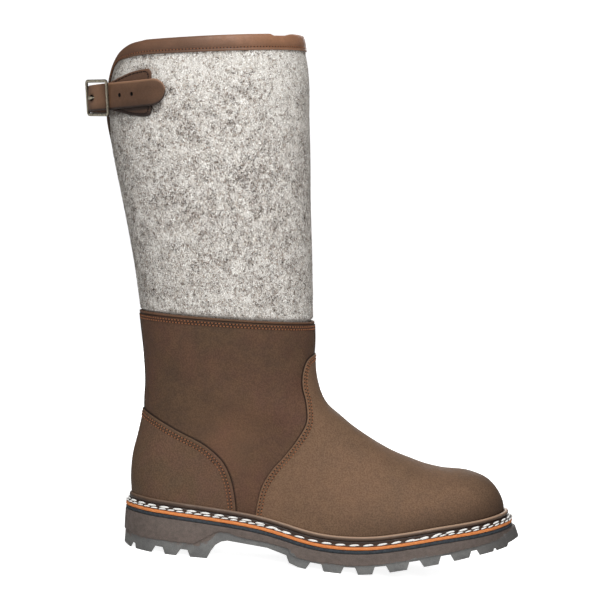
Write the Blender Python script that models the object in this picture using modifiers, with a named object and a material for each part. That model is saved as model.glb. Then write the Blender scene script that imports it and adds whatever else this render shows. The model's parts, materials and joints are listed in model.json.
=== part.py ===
"""Winter boot for the right foot: felt shaft, leather foot, stitched midsole and lugged outsole.

Worked out in millimetres from the back of the heel: toe along +X, outer side along -Y, floor at Z = 0.
Meshes are made in metres, and the whole boot is then set over the middle of its floor.
"""

import math

import bmesh
import bpy
import numpy as np

MM = 0.001
GAP = 0.3  # clearance between pieces that meet
MERGE = 0.01
LINE_SAMPLES = 500  # points on a line that is looked up by distance
NORMAL_STEP = 0.02
ACROSS = 90.0  # half of a width that clears the whole boot


def columns(names, *rows):
    """A small table: one array for each named column."""
    return dict(zip(names.split(), np.array(rows, float).T))


# Sole, seen from above at the seat line: half widths on the outer and the inner side of the boot's axis
PLAN = columns(
    "x lateral medial",
    (-1.5, 0.0, 0.0),
    (8.0, 21.5, 21.0),
    (20.0, 32.0, 31.5),
    (40.0, 37.8, 37.0),
    (80.0, 38.5, 36.0),
    (120.0, 41.0, 36.5),
    (160.0, 48.0, 44.0),
    (200.0, 53.0, 53.0),
    (230.0, 51.5, 56.0),
    (260.0, 44.0, 51.5),
    (281.0, 33.0, 43.0),
    (295.6, 17.0, 30.0),
    (302.3, -7.0, 7.0),
)
HEEL_X = PLAN["x"][0]
TOE_X = PLAN["x"][-1]
TOE_SWING = PLAN["medial"][-1]  # the toe tip lies on the inner side of the axis

# Seat line: top of the rubber midsole along the boot, with the arch and the toe spring
SEAT = columns(
    "x z",
    (-1.5, 31.2),
    (32.0, 30.7),
    (65.0, 29.3),
    (113.0, 24.9),
    (125.0, 22.6),
    (137.0, 20.2),
    (149.0, 18.6),
    (161.0, 18.1),
    (177.0, 18.8),
    (195.0, 21.2),
    (213.0, 25.2),
    (243.0, 32.6),
    (274.0, 39.1),
    (302.3, 45.8),
)
RUBBER_MIDSOLE = 2.6
RUBBER_SETBACK = 0.2
LEATHER_MIDSOLE = 2.9
INSOLE = 3.0
INSOLE_CLEAR = 0.8

# Underside of the outsole above the floor: chamfered heel, breast, waist, first lug, flat forefoot
UNDERSIDE = columns(
    "x z",
    (-1.5, 2.0),
    (5.0, 0.0),
    (68.5, 0.0),
    (71.0, 6.5),
    (73.5, 11.0),
    (77.5, 14.0),
    (82.0, 15.2),
    (114.5, 12.9),
    (130.0, 9.0),
    (133.5, 3.4),
    (140.0, 1.0),
    (148.0, 0.0),
    (177.0, 0.0),
)
FOREFOOT = columns(  # seat line to tread from the ball on, square to the seat line
    "x depth",
    (177.0, 18.7),
    (195.0, 18.5),
    (213.0, 18.1),
    (240.0, 18.0),
    (256.0, 17.3),
    (270.0, 16.3),
    (285.0, 15.4),
    (292.0, 14.8),
    (293.2, 12.4),
    (302.3, 11.0),
)
LUG_ZONE = 6.6  # lower part of the outsole's side, set back from the band above it
LUG_STEP = 0.9
STEP_RISE = 0.7
TOE_FLARE = 4.6  # the tread reaches out past the seat line at the toe
TOE_FLARE_START = 262.0
HEEL_TAPER = 1.0  # and draws in at the heel's back
HEEL_TAPER_END = 30.0
BAND_SPREAD = 0.65  # share of both at the foot of the band

# Grooves across the tread, at their places along the seat line
GROOVES = columns(
    "x root mouth depth",
    (9.0, 2.0, 4.0, 4.0),
    (29.8, 5.6, 10.6, 5.2),
    (49.8, 5.2, 10.8, 5.2),
    (151.6, 8.4, 14.0, 5.6),
    (175.5, 8.6, 13.6, 5.6),
    (197.5, 8.6, 13.6, 5.6),
    (222.5, 8.0, 13.2, 5.6),
    (246.6, 7.4, 12.4, 5.6),
    (268.6, 4.2, 8.4, 4.4),
    (284.4, 1.2, 2.4, 1.8),
)
CHANNELS = columns(  # grooves along the tread, between the side lugs and the middle ones
    "start end inset width depth",
    (8.0, 60.0, 19.0, 5.0, 4.2),
    (142.0, 284.0, 25.0, 6.0, 4.6),
)
CHANNEL_STATIONS = 10
TREAD_REACH = 3.0  # how far the grooves' cutters reach below the tread

# Upper: how far its foot stands in from the sole's edge
FEATHER = columns("x inset", (-1.5, 5.8), (262.0, 6.8), (302.3, 8.5))
FEATHER_GAP = 0.7
LEATHER_WALL = 2.2
OVERLAY_WALL = 1.2
OVERLAY_GAP = 0.4
FELT_WALL = 3.0

# Back of the boot in side view, from the feather line to the collar
BACK = columns(
    "z x",
    (34.0, 4.3),
    (42.0, 3.4),
    (52.0, 1.9),
    (70.0, 1.6),
    (90.0, 4.6),
    (106.0, 6.2),
    (116.0, 5.6),
    (128.0, 5.2),
    (147.0, 2.6),
    (184.0, -4.7),
    (211.0, -9.8),
    (267.0, -25.7),
    (321.0, -40.5),
    (345.0, -44.0),
    (368.0, -45.0),
    (392.0, -44.0),
)

# Front of the boot in side view: toe, vamp, instep, shin, collar
FRONT = columns(
    "x z",
    (293.8, 47.8),
    (293.2, 57.2),
    (287.6, 68.1),
    (279.2, 76.0),
    (266.5, 80.3),
    (241.2, 81.5),
    (215.2, 87.3),
    (188.7, 97.4),
    (161.8, 113.2),
    (145.2, 126.6),
    (136.6, 146.0),
    (134.3, 160.0),
    (133.7, 173.0),
    (129.6, 203.0),
    (121.6, 268.0),
    (113.3, 342.0),
    (108.8, 380.0),
    (101.4, 407.0),
)

# Leg sections: half width, and how much of each end of the oval is round
LEG = columns(
    "z half_width back_round front_round",
    (34.0, 34.0, 40.0, 60.0),
    (100.0, 36.5, 52.0, 60.0),
    (140.0, 43.0, 62.0, 62.0),
    (184.0, 51.0, 66.0, 70.0),
    (270.0, 56.0, 72.0, 74.0),
    (407.0, 60.0, 74.0, 73.0),
)
LEG_ROUNDNESS = 2.1  # exponent of the ovals, 2 for an ellipse
ARCH_RISE = 2.3  # exponents of the arch over the forefoot
ARCH_ROUNDNESS = 2.0
CROWN_FROM = 180.0  # from here the ridge over the forefoot swings with the toe
LEG_FROM = (62.0, 132.0)  # heights between which the heel's plan turns into the leg's oval
FOOT_FROM = columns("z x", (40.0, 66.0), (150.0, 134.0))  # line where the leg starts to turn into the foot
FOOT_BLEND = 78.0

# Rings of the upper: distance along the front line, and height on the back line
RINGS = columns(
    "front back",
    (0.0, 34.8),
    (10.9, 39.5),
    (26.9, 44.0),
    (44.9, 48.5),
    (76.9, 54.5),
    (108.9, 62.0),
    (142.9, 75.0),
    (170.9, 92.0),
    (189.9, 113.0),
    (208.9, 138.0),
    (226.9, 162.0),
    (242.9, 184.0),
)
UPPER_RINGS = 17
UPPER_COLUMNS = 40
FLAT_AT = 104.0  # back height from which a ring no longer follows the dip of the sole
DIP_FADE = 1.5

# Felt shaft: heights at the back and the front of its lower and upper ends
LEATHER_TOP = (184.0, 188.5)
COLLAR = (385.7, 406.6)
FELT_TUCK = 13.0
FELT_SWELL = 7.0  # height over which the felt swells out above the leather
FELT_ROWS = 8
FELT_SIDE_COLUMNS = 10
ROUND_AT = 0.9  # place on the shaft where distances round it are measured
SHARE_STEPS = 6

# Collar's edge from the slit at centre back: distance round the collar, drop below its top
EDGE = columns(
    "round drop",
    (0.0, 89.0),
    (1.7, 88.0),
    (2.9, 85.0),
    (3.8, 77.0),
    (6.2, 58.0),
    (10.5, 42.0),
    (18.0, 26.5),
    (25.0, 15.0),
    (33.0, 7.5),
    (43.0, 2.8),
    (60.0, 0.0),
)
BINDING_WALL = 1.3
BINDING_GAP = 0.5
BINDING_INNER_GAP = 0.9
BINDING_OUTSIDE = columns("drop flap", (0.0, 10.0), (20.0, 9.0), (40.0, 5.5), (89.0, 4.5))
BINDING_INSIDE = 0.7  # share of the outer flap
BINDING_BEVEL = 0.2

# Seams of the overlays in side view
VAMP_EDGE = columns(
    "x z",
    (100.8, 20.0),
    (101.2, 42.0),
    (103.7, 58.5),
    (109.9, 72.0),
    (119.7, 85.5),
    (128.0, 99.0),
    (133.4, 113.0),
    (131.2, 126.0),
    (127.0, 138.5),
    (126.6, 150.0),
    (129.4, 159.2),
    (136.0, 164.2),
)
COUNTER_EDGE = columns(
    "x z",
    (-6.0, 113.2),
    (8.1, 107.0),
    (32.6, 96.6),
    (60.4, 84.4),
    (72.2, 74.6),
    (79.6, 61.8),
    (83.8, 48.0),
    (85.7, 38.0),
    (86.2, 20.0),
)
EDGE_STEP = 8.0
FOOT_STATIONS = 14
PAST_TOE = 320.0
PAST_HEEL = -20.0
BEAD_CLEAR = 10.4  # overlays end this far above the seat line, over the welt's bead

# Welt: its section, as distance in from the sole's edge and height above the seat line
WELT = columns(
    "inset z",
    (0.3, 3.3),
    (0.3, 4.9),
    (2.7, 5.2),
    (2.8, 8.0),
    (3.4, 9.4),
    (4.3, 9.7),
    (5.1, 8.8),
    (5.2, 3.3),
)
HEEL_LEAN = 0.8  # the heel leans out over the welt, which is narrower there
HEEL_LEAN_END = (20.0, 70.0)
SOLE_STATIONS = 30  # along each side

# Strap and buckle, in the tilted plane round the back of the shaft
STRAP_Z = 345.8  # middle of the strap where X = STRAP_X
STRAP_X = -40.0
STRAP_SLOPE = 0.19
STRAP_WIDTH = 20.6
STRAP_WALL = 2.2
STRAP_TIP = 79.4  # free end, measured round the shaft from centre back
STRAP_ROOT = -74.0
STRAP_LIFT = 3.1  # over the patch
ROOT_LIFT = 0.7
BOW = 12.5  # how far the strap bows out over the slit and the buckle
BOW_APEX = 10.0
BOW_REACH = 50.0
STRAP_HOLES = (15.6, 44.2, 53.6)
STRAP_STATIONS = 22
TIP_STATIONS = 6
TIP_BLUNT = 0.12  # angle at which the round tip is cut off
HOLE_RADIUS = 1.7
PATCH = columns(
    "round below above",
    (16.9, 8.5, 8.5),
    (34.0, 9.5, 10.0),
    (42.8, 12.3, 13.5),
    (50.3, 15.0, 16.5),
    (57.0, 16.7, 17.9),
    (67.5, 17.6, 18.3),
)
PATCH_STATIONS = 12
PATCH_WALL = 1.5
BAR_RADIUS = 1.25
BAR_ROUNDNESS = 2
FRAME_HEIGHT = 24.6
FRAME_CORNER = 3.5
CORNER_POINTS = 4
INNER_BAR = 12.0  # places of the frame's two upright bars round the shaft
OUTER_BAR = 36.0
BAR_GAP = 0.6
PRONG_RADIUS = 0.8
PRONG_START = 1.0
PRONG_BEND = 0.9
PRONG_REACH = 4.2

SHARP_ANGLE = 35.0  # edges sharper than this stay sharp when shaded

FINISH = columns(
    "red green blue rough metal",
    (0.085, 0.082, 0.080, 0.80, 0.0),
    (0.035, 0.042, 0.048, 0.75, 0.0),
    (0.520, 0.200, 0.060, 0.70, 0.0),
    (0.160, 0.105, 0.070, 0.70, 0.0),
    (0.125, 0.090, 0.066, 0.75, 0.0),
    (0.470, 0.440, 0.410, 0.95, 0.0),
    (0.180, 0.095, 0.060, 0.60, 0.0),
    (0.360, 0.290, 0.190, 0.35, 1.0),
)
RUBBER, DARK_RUBBER, TAN_EDGE, WELT_LEATHER, NUBUCK, FELT, STRAP_LEATHER, BRASS = range(8)


def smooth(xs, ys, at):
    """Cubic through the rows of a table, each slope taken from the two neighbours."""
    span = np.diff(xs)
    slope = np.diff(ys) / span
    inner = (slope[:-1] * span[1:] + slope[1:] * span[:-1]) / (span[:-1] + span[1:])
    tangent = np.concatenate([slope[:1], inner, slope[-1:]])
    at = np.clip(at, xs[0], xs[-1])
    k = np.clip(np.searchsorted(xs, at, side="right") - 1, 0, len(span) - 1)
    t = (at - xs[k]) / span[k]
    rise = ys[k] * (1 + 2 * t) * (1 - t) ** 2 + ys[k + 1] * t * t * (3 - 2 * t)
    lean = tangent[k] * t * (1 - t) ** 2 - tangent[k + 1] * t * t * (1 - t)
    return rise + lean * span[k]


def ease(low, high, at):
    """0 below low, 1 above high, with a soft start and end."""
    t = np.clip((at - low) / (high - low), 0.0, 1.0)
    return t * t * (3 - 2 * t)


def curve(xs, zs, count):
    """Evenly parted points on a smooth line through the rows, and their distances along it."""
    along = np.concatenate([[0.0], np.cumsum(np.hypot(np.diff(xs), np.diff(zs)))])
    at = np.linspace(0.0, along[-1], count)
    return smooth(along, xs, at), smooth(along, zs, at), at


FRONT_X, FRONT_Z, FRONT_ALONG = curve(FRONT["x"], FRONT["z"], LINE_SAMPLES)


# Sole


def seat(x):
    return smooth(SEAT["x"], SEAT["z"], x)


def seat_tilt(x):
    x = np.clip(x, HEEL_X + 1, TOE_X - 1)
    return np.arctan((seat(x + 1) - seat(x - 1)) / 2)


def tread_depth(x):
    """Seat line to underside: to the floor's shape up to the ball, then by the forefoot's thickness."""
    flat = (seat(x) - np.interp(x, UNDERSIDE["x"], UNDERSIDE["z"])) / np.cos(seat_tilt(x))
    ball = UNDERSIDE["x"][-1]
    return np.where(x <= ball, flat, np.interp(x, FOREFOOT["x"], FOREFOOT["depth"]))


def plan_angle(x):
    """Angle that spreads a length out towards its round ends."""
    return np.arccos(np.clip(1 - 2 * (x - HEEL_X) / (TOE_X - HEEL_X), -1, 1))


def outline(x, inset):
    """Points on the outer and the inner side of the sole's outline, set in by inset."""
    table = plan_angle(PLAN["x"])
    angle = plan_angle(x)
    step = 1e-3
    run = (TOE_X - HEEL_X) / 2 * np.sin(angle)
    sides = []
    for column, sign in (("lateral", -1), ("medial", 1)):
        y = sign * smooth(table, PLAN[column], angle)
        ahead = np.minimum(angle + step, math.pi)
        behind = np.maximum(angle - step, 0.0)
        fall = sign * (smooth(table, PLAN[column], ahead) - smooth(table, PLAN[column], behind))
        fall = fall / (ahead - behind)
        length = np.hypot(run, fall)
        sides.append((x + sign * fall * inset / length, y - sign * run * inset / length))
    return sides


def sole_point(x, y, depth):
    """Point below the seat line, square to it, or straight above it where depth is negative."""
    tilt = seat_tilt(x)
    below = np.maximum(depth, 0.0)
    return np.stack([x + below * np.sin(tilt), y, seat(x) - below * np.cos(tilt) - np.minimum(depth, 0.0)], -1)


def sole_stations(count):
    """Places along the sole, closer together towards its round ends."""
    angle = (np.arange(count) + 0.5) * math.pi / count
    return HEEL_X + (TOE_X - HEEL_X) * (1 - np.cos(angle)) / 2


def sole_loop(x, inset, depth):
    """One closed loop round the sole: up the outer side and back down the inner side."""
    (lateral_x, lateral_y), (medial_x, medial_y) = outline(x, inset)
    depth = depth + 0 * x
    outer = sole_point(lateral_x, lateral_y, depth)
    inner = sole_point(medial_x, medial_y, depth)
    return np.concatenate([outer, inner[::-1]])


def feather_inset(x):
    return np.interp(x, FEATHER["x"], FEATHER["inset"])


# Upper


def base(x):
    """Height of the feather line, where the upper stands on the midsole."""
    return seat(x) + LEATHER_MIDSOLE + FEATHER_GAP


PLAN_SAMPLES = HEEL_X + (TOE_X - HEEL_X) * (1 - np.cos(np.linspace(0, math.pi, LINE_SAMPLES))) / 2
FOOT_OUTLINE = outline(PLAN_SAMPLES, feather_inset(PLAN_SAMPLES))


def foot_half_width(x, side):
    """The foot's plan: distance from the axis to its side, negative on the outer side."""
    plan_x, plan_y = FOOT_OUTLINE[side]
    low, high = plan_x[0], plan_x[-1]
    spread = np.arccos(np.clip(1 - 2 * (plan_x - low) / (high - low), -1, 1))
    return np.interp(np.arccos(np.clip(1 - 2 * (x - low) / (high - low), -1, 1)), spread, plan_y)


def round_end(share, power):
    """Half width of a round end, as a share of the full one."""
    return (1 - (1 - np.clip(share, 0.0, 1.0)) ** power) ** (1 / power)


def back_x(z):
    return smooth(BACK["z"], BACK["x"], z)


def crown(x):
    """Side shift of the ridge over the forefoot, which swings with the toe."""
    return TOE_SWING * ease(CROWN_FROM, TOE_X, x)


def side_y(x, z, side):
    """The upper's surface in side view: its distance from the axis, on either side."""
    sign = (-1, 1)[side]
    leg = {name: np.interp(z, LEG["z"], LEG[name]) for name in LEG}
    oval = round_end((x - back_x(z)) / leg["back_round"], LEG_ROUNDNESS)
    oval = oval * round_end((np.interp(z, FRONT_Z, FRONT_X) - x) / leg["front_round"], LEG_ROUNDNESS)
    oval = sign * leg["half_width"] * oval
    shifted = x - (back_x(z) - back_x(BACK["z"][0]))
    heel = foot_half_width(shifted, side)
    leg_share = ease(*LEG_FROM, z)
    rear = (1 - leg_share) * heel + leg_share * oval
    top = np.interp(-x, -FRONT_X, FRONT_Z)
    low = base(x)
    height = np.clip((z - low) / np.maximum(top - low, 1.0), 0.0, 1.0)
    arch = (1 - height**ARCH_RISE) ** (1 / ARCH_ROUNDNESS)
    fore = crown(x) + (foot_half_width(x, side) - crown(x)) * arch
    start = np.interp(z, FOOT_FROM["z"], FOOT_FROM["x"])
    fore_share = ease(start, start + FOOT_BLEND, x)
    return (1 - fore_share) * rear + fore_share * fore


def ring(back, front, angles, dip=0.0):
    """One ring round the boot through a back point and a front point, by angle from centre back."""
    share = (1 - np.cos(angles)) / 2
    x = back[0] + (front[0] - back[0]) * share
    z = back[1] + (front[1] - back[1]) * share
    straight = base(back[0]) + (base(front[0]) - base(back[0])) * share
    z = z + dip * (base(x) - straight)
    outer = np.sin(angles) >= 0
    y = np.where(outer, side_y(x, z, 0), side_y(x, z, 1))
    ends = np.abs(np.sin(angles)) < 1e-6
    y = np.where(ends, crown(x) * (share > 0.5), y)
    return np.stack([x, y, z], -1)


def upper_ring(place, angles):
    """Ring of the foot at a place in the table of rings, 0 at the feather line."""
    rows = np.arange(len(RINGS["front"]))
    along = smooth(rows, RINGS["front"], place)
    height = smooth(rows, RINGS["back"], place)
    front = np.interp(along, FRONT_ALONG, FRONT_X), np.interp(along, FRONT_ALONG, FRONT_Z)
    low = RINGS["back"][0]
    dip = np.clip(1 - (height - low) / (FLAT_AT - low), 0.0, 1.0) ** DIP_FADE
    return ring((back_x(height), height), front, angles, dip)


def shaft_ring(share, angles):
    """Ring of the shaft, 0 at the leather's top edge and 1 at the collar."""
    back_z = LEATHER_TOP[0] + (COLLAR[0] - LEATHER_TOP[0]) * share
    front_z = LEATHER_TOP[1] + (COLLAR[1] - LEATHER_TOP[1]) * share
    return ring((back_x(back_z), back_z), (np.interp(front_z, FRONT_Z, FRONT_X), front_z), angles)


SHAFT_LENGTH = (COLLAR[0] + COLLAR[1] - LEATHER_TOP[0] - LEATHER_TOP[1]) / 2
ROUND_ANGLES = np.linspace(0, math.pi, LINE_SAMPLES)
ROUND_POINTS = shaft_ring(ROUND_AT, ROUND_ANGLES)
ROUND_LENGTHS = np.concatenate(
    [[0.0], np.cumsum(np.linalg.norm(np.diff(ROUND_POINTS, axis=0), axis=1))]
)


def shaft_angle(distance):
    """Angle of a place on the shaft, by its distance round from centre back, outer side positive."""
    return np.sign(distance) * np.interp(np.abs(distance), ROUND_LENGTHS, ROUND_ANGLES)


def on_shaft(distance, share, lift=0.0):
    """Point on the shaft's surface, lifted off it along its normal."""
    angle = shaft_angle(distance)
    here = shaft_ring(share, angle)
    round_way = shaft_ring(share, angle + NORMAL_STEP) - shaft_ring(share, angle - NORMAL_STEP)
    up_way = shaft_ring(share + NORMAL_STEP, angle) - shaft_ring(share - NORMAL_STEP, angle)
    normal = np.cross(round_way, up_way)
    normal = normal / np.linalg.norm(normal, axis=-1, keepdims=True)
    return here + normal * np.asarray(lift)[..., None]


# Making meshes


def finish(kind, name):
    """Principled material from a row of the finish table."""
    row = {column: float(values[kind]) for column, values in FINISH.items()}
    material = bpy.data.materials.new(name)
    material.use_nodes = True
    shader = material.node_tree.nodes["Principled BSDF"]
    shader.inputs["Base Color"].default_value = (row["red"], row["green"], row["blue"], 1.0)
    shader.inputs["Roughness"].default_value = row["rough"]
    shader.inputs["Metallic"].default_value = row["metal"]
    return material


def add_object(name, data, kind, collection, root):
    thing = bpy.data.objects.new(name, data)
    thing.parent = root
    collection.objects.link(thing)
    if kind is None:
        thing.hide_render = True
        thing.display_type = "WIRE"
    else:
        data.materials.append(finish(kind, name))
    return thing


def mesh_from(name, points, faces):
    """Mesh of a surface whose faces already point out."""
    mesh = bpy.data.meshes.new(name)
    mesh.from_pydata([tuple(p) for p in np.asarray(points).reshape(-1, 3) * MM], [], faces)
    mesh.shade_smooth()
    mesh.set_sharp_from_angle(angle=math.radians(SHARP_ANGLE))
    return mesh


def solid_from(name, points, faces):
    """Mesh of a closed solid."""
    mesh = mesh_from(name, points, faces)
    work = bmesh.new()
    work.from_mesh(mesh)
    bmesh.ops.recalc_face_normals(work, faces=work.faces)
    work.to_mesh(mesh)
    work.free()
    return mesh


def grid_faces(rows, cols, close_rows=False, close_cols=False):
    """Quads of a grid of points, rows one after another."""
    faces = []
    for i in range(rows if close_rows else rows - 1):
        for j in range(cols if close_cols else cols - 1):
            below, right = (i + 1) % rows, (j + 1) % cols
            faces.append((i * cols + j, i * cols + right, below * cols + right, below * cols + j))
    return faces


def upper_faces():
    """Triangles of the upper's grid, so that its overlays bend along the same lines."""
    faces = []
    for number, (a, b, c, d) in enumerate(grid_faces(UPPER_RINGS, UPPER_COLUMNS, close_cols=True)):
        outer_side = number % UPPER_COLUMNS < UPPER_COLUMNS // 2
        faces += [(a, b, c), (a, c, d)] if outer_side else [(a, b, d), (b, c, d)]
    return faces


def layer_mesh(name, loops):
    """Solid between closed loops round the sole, capped across from its outer to its inner side."""
    levels, count = len(loops), len(loops[0])
    faces = grid_faces(levels, count, close_cols=True)
    for level in (0, levels - 1):
        first = level * count
        for i in range(count // 2 - 1):
            far = count - 1 - i
            faces.append((first + i, first + i + 1, first + far - 1, first + far))
    return solid_from(name, np.array(loops), faces)


def solidify(thing, thickness, offset):
    """Give a surface its wall: offset 1 outwards, -1 inwards."""
    wall = thing.modifiers.new("wall", "SOLIDIFY")
    wall.thickness = thickness * MM
    wall.offset = offset
    wall.use_even_offset = True
    wall.use_quality_normals = True
    return wall


def cut(thing, cutter, operation):
    boolean = thing.modifiers.new(operation.lower(), "BOOLEAN")
    boolean.operation = operation
    boolean.solver = "EXACT"
    if isinstance(cutter, bpy.types.Collection):
        boolean.operand_type = "COLLECTION"
        boolean.collection = cutter
    else:
        boolean.object = cutter


def lifted(points, distance):
    """A closed grid of points moved out along its own normals."""
    round_way = np.roll(points, -1, axis=1) - np.roll(points, 1, axis=1)
    up_way = np.gradient(points, axis=0)
    normal = np.cross(round_way, up_way)
    normal /= np.linalg.norm(normal, axis=-1, keepdims=True)
    return points + normal * distance


# Pieces


def make_outsole(parts, cutters, root):
    x = np.unique(np.concatenate([sole_stations(SOLE_STATIONS), UNDERSIDE["x"][1:], FOREFOOT["x"][-3:-1]]))
    tread = tread_depth(x)
    zone = np.minimum(LUG_ZONE, tread / 2)
    spread = HEEL_TAPER * (1 - ease(HEEL_X, HEEL_TAPER_END, x)) - TOE_FLARE * ease(TOE_FLARE_START, TOE_X, x)
    levels = [
        sole_loop(x, 0.0, RUBBER_MIDSOLE + GAP),
        sole_loop(x, spread * BAND_SPREAD, tread - zone - STEP_RISE),
        sole_loop(x, spread * BAND_SPREAD + LUG_STEP, tread - zone),
        sole_loop(x, spread + LUG_STEP, tread),
    ]
    outsole = add_object("outsole", layer_mesh("outsole", levels), RUBBER, parts, root)
    grooves = bpy.data.collections.new("tread_grooves")
    cutters.children.link(grooves)
    for row in range(len(GROOVES["x"])):
        place = {column: values[row] for column, values in GROOVES.items()}
        make_groove(f"groove_{row}", place, grooves, root)
    for row in range(len(CHANNELS["start"])):
        place = {column: values[row] for column, values in CHANNELS.items()}
        for side in (0, 1):
            make_channel(f"channel_{row}_{side}", place, side, grooves, root)
    cut(outsole, grooves, "DIFFERENCE")


def make_groove(name, place, collection, root):
    """Wedge across the sole, wider at its mouth."""
    x = np.array(place["x"])
    tread = tread_depth(x)
    slant = (place["mouth"] - place["root"]) / place["depth"]
    half_root = place["root"] / 2
    half_mouth = half_root + slant * (place["depth"] + TREAD_REACH) / 2
    corners = []
    for depth, half in ((tread - place["depth"], half_root), (tread + TREAD_REACH, half_mouth)):
        middle = sole_point(x, 0 * x, depth)
        tilt = seat_tilt(x)
        forward = np.array([math.cos(tilt), 0.0, math.sin(tilt)])
        for side in (-1, 1):
            corners.append(middle + side * half * forward)
    section = np.array([corners[0], corners[1], corners[3], corners[2]])
    width = np.array([0.0, ACROSS, 0.0])
    points = np.concatenate([section - width, section + width])
    faces = grid_faces(2, 4, close_cols=True) + [(3, 2, 1, 0), (4, 5, 6, 7)]
    add_object(name, solid_from(name, points, faces), None, collection, root)


def make_channel(name, place, side, collection, root):
    """Slot along the sole, following its side."""
    x = np.linspace(place["start"], place["end"], CHANNEL_STATIONS)
    tread = tread_depth(x)
    half = place["width"] / 2
    loops = []
    for inset, depth in (
        (place["inset"] - half, tread - place["depth"]),
        (place["inset"] + half, tread - place["depth"]),
        (place["inset"] + half, tread + TREAD_REACH),
        (place["inset"] - half, tread + TREAD_REACH),
    ):
        line_x, line_y = outline(x, inset)[side]
        loops.append(sole_point(line_x, line_y, depth))
    points = np.array(loops).transpose(1, 0, 2)
    last = 4 * (len(x) - 1)
    faces = grid_faces(len(x), 4, close_cols=True) + [(3, 2, 1, 0), (last, last + 1, last + 2, last + 3)]
    add_object(name, solid_from(name, points, faces), None, collection, root)


def make_sole_layers(parts, root):
    x = sole_stations(SOLE_STATIONS)
    board = feather_inset(x) + LEATHER_WALL + INSOLE_CLEAR
    layers = (
        ("rubber_midsole", DARK_RUBBER, RUBBER_SETBACK, GAP / 2, RUBBER_MIDSOLE),
        ("leather_midsole", TAN_EDGE, 0.0, -LEATHER_MIDSOLE, -GAP / 2),
        ("insole", WELT_LEATHER, board, -LEATHER_MIDSOLE - GAP - INSOLE, -LEATHER_MIDSOLE - GAP),
    )
    for name, kind, inset, top, bottom in layers:
        loops = [sole_loop(x, inset, top), sole_loop(x, inset, bottom)]
        add_object(name, layer_mesh(name, loops), kind, parts, root)


def make_welt(parts, root):
    x = sole_stations(SOLE_STATIONS)
    spare = feather_inset(x) - FEATHER["inset"][0] - HEEL_LEAN * (1 - ease(*HEEL_LEAN_END, x))
    loops = []
    for inset, z in zip(WELT["inset"], WELT["z"]):
        share = (inset - WELT["inset"][0]) / (WELT["inset"][-1] - WELT["inset"][0])
        loops.append(sole_loop(x, inset + spare * share, -z))
    faces = grid_faces(len(loops), len(loops[0]), close_rows=True, close_cols=True)
    add_object("welt", solid_from("welt", np.array(loops), faces), WELT_LEATHER, parts, root)


def upper_grid():
    """Outer surface of the leather foot, from the feather line to its top edge."""
    angles = np.arange(UPPER_COLUMNS) * 2 * math.pi / UPPER_COLUMNS
    places = np.linspace(0, len(RINGS["front"]) - 1, UPPER_RINGS)
    return np.array([upper_ring(place, angles) for place in places])


def make_upper(parts, root):
    grid = upper_grid()
    upper = add_object("upper", mesh_from("upper", grid, upper_faces()), NUBUCK, parts, root)
    solidify(upper, LEATHER_WALL, -1)


def make_overlay(name, edge, beyond, parts, cutters, root):
    """Sheet over the upper, kept on one side of its seam and above the welt."""
    grid = lifted(upper_grid(), OVERLAY_GAP)
    overlay = add_object(name, mesh_from(name, grid, upper_faces()), NUBUCK, parts, root)
    solidify(overlay, OVERLAY_WALL, 1)
    length = np.hypot(np.diff(edge["x"]), np.diff(edge["z"])).sum()
    seam_x, seam_z, _ = curve(edge["x"], edge["z"], round(length / EDGE_STEP) + 1)
    over_bead = seam_z > seat(seam_x) + BEAD_CLEAR
    seam = list(zip(seam_x[over_bead], seam_z[over_bead]))
    foot_x = np.linspace(edge["x"][np.argmin(edge["z"])], beyond, FOOT_STATIONS)
    foot = list(zip(foot_x, seat(foot_x) + BEAD_CLEAR))
    far = (beyond, max(edge["z"]))
    region = seam + [far] + foot[::-1] if edge["z"][0] < edge["z"][-1] else [far] + seam + foot
    cutter = add_object(f"{name}_region", prism(f"{name}_region", region), None, cutters, root)
    cut(overlay, cutter, "INTERSECT")


def prism(name, region):
    """Side-view region drawn out across the whole boot."""
    work = bmesh.new()
    corners = [work.verts.new((x * MM, -ACROSS * MM, z * MM)) for x, z in region]
    face = work.faces.new(corners)
    grown = bmesh.ops.extrude_face_region(work, geom=[face])["geom"]
    moved = [item for item in grown if isinstance(item, bmesh.types.BMVert)]
    bmesh.ops.translate(work, verts=moved, vec=(0.0, 2 * ACROSS * MM, 0.0))
    bmesh.ops.recalc_face_normals(work, faces=work.faces)
    mesh = bpy.data.meshes.new(name)
    work.to_mesh(mesh)
    work.free()
    return mesh


def edge_share(distance):
    """Place of the collar's edge on the shaft, by distance round it from centre back."""
    return 1 - np.interp(np.abs(distance), EDGE["round"], EDGE["drop"]) / SHAFT_LENGTH


def felt_columns():
    """Distances round the shaft: closer together at the slit, up one side and back down the other."""
    side = np.linspace(EDGE["round"][-1], ROUND_LENGTHS[-1], FELT_SIDE_COLUMNS + 1)[1:]
    half = np.concatenate([EDGE["round"], side])
    return np.concatenate([half, -half[-2:0:-1]])


def make_felt(parts, root):
    distance = felt_columns()
    low = -FELT_TUCK / SHAFT_LENGTH
    swell = FELT_SWELL / SHAFT_LENGTH
    starts = [low, GAP / SHAFT_LENGTH, swell]
    rows = []
    for i in range(FELT_ROWS + len(starts) - 1):
        if i < len(starts) - 1:
            share = starts[i] + 0 * distance
        else:
            part = (i - len(starts) + 1) / (FELT_ROWS - 1)
            share = swell + (edge_share(distance) - swell) * part
        tucked = -(LEATHER_WALL + 2 * GAP) * (1 - ease(GAP / SHAFT_LENGTH, swell, share))
        rows.append(on_shaft(distance, share, tucked))
    grid = np.array(rows)
    faces = grid_faces(len(rows), len(distance), close_cols=True)
    felt = add_object("felt_shaft", mesh_from("felt_shaft", grid, faces), FELT, parts, root)
    solidify(felt, FELT_WALL, -1)


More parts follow.
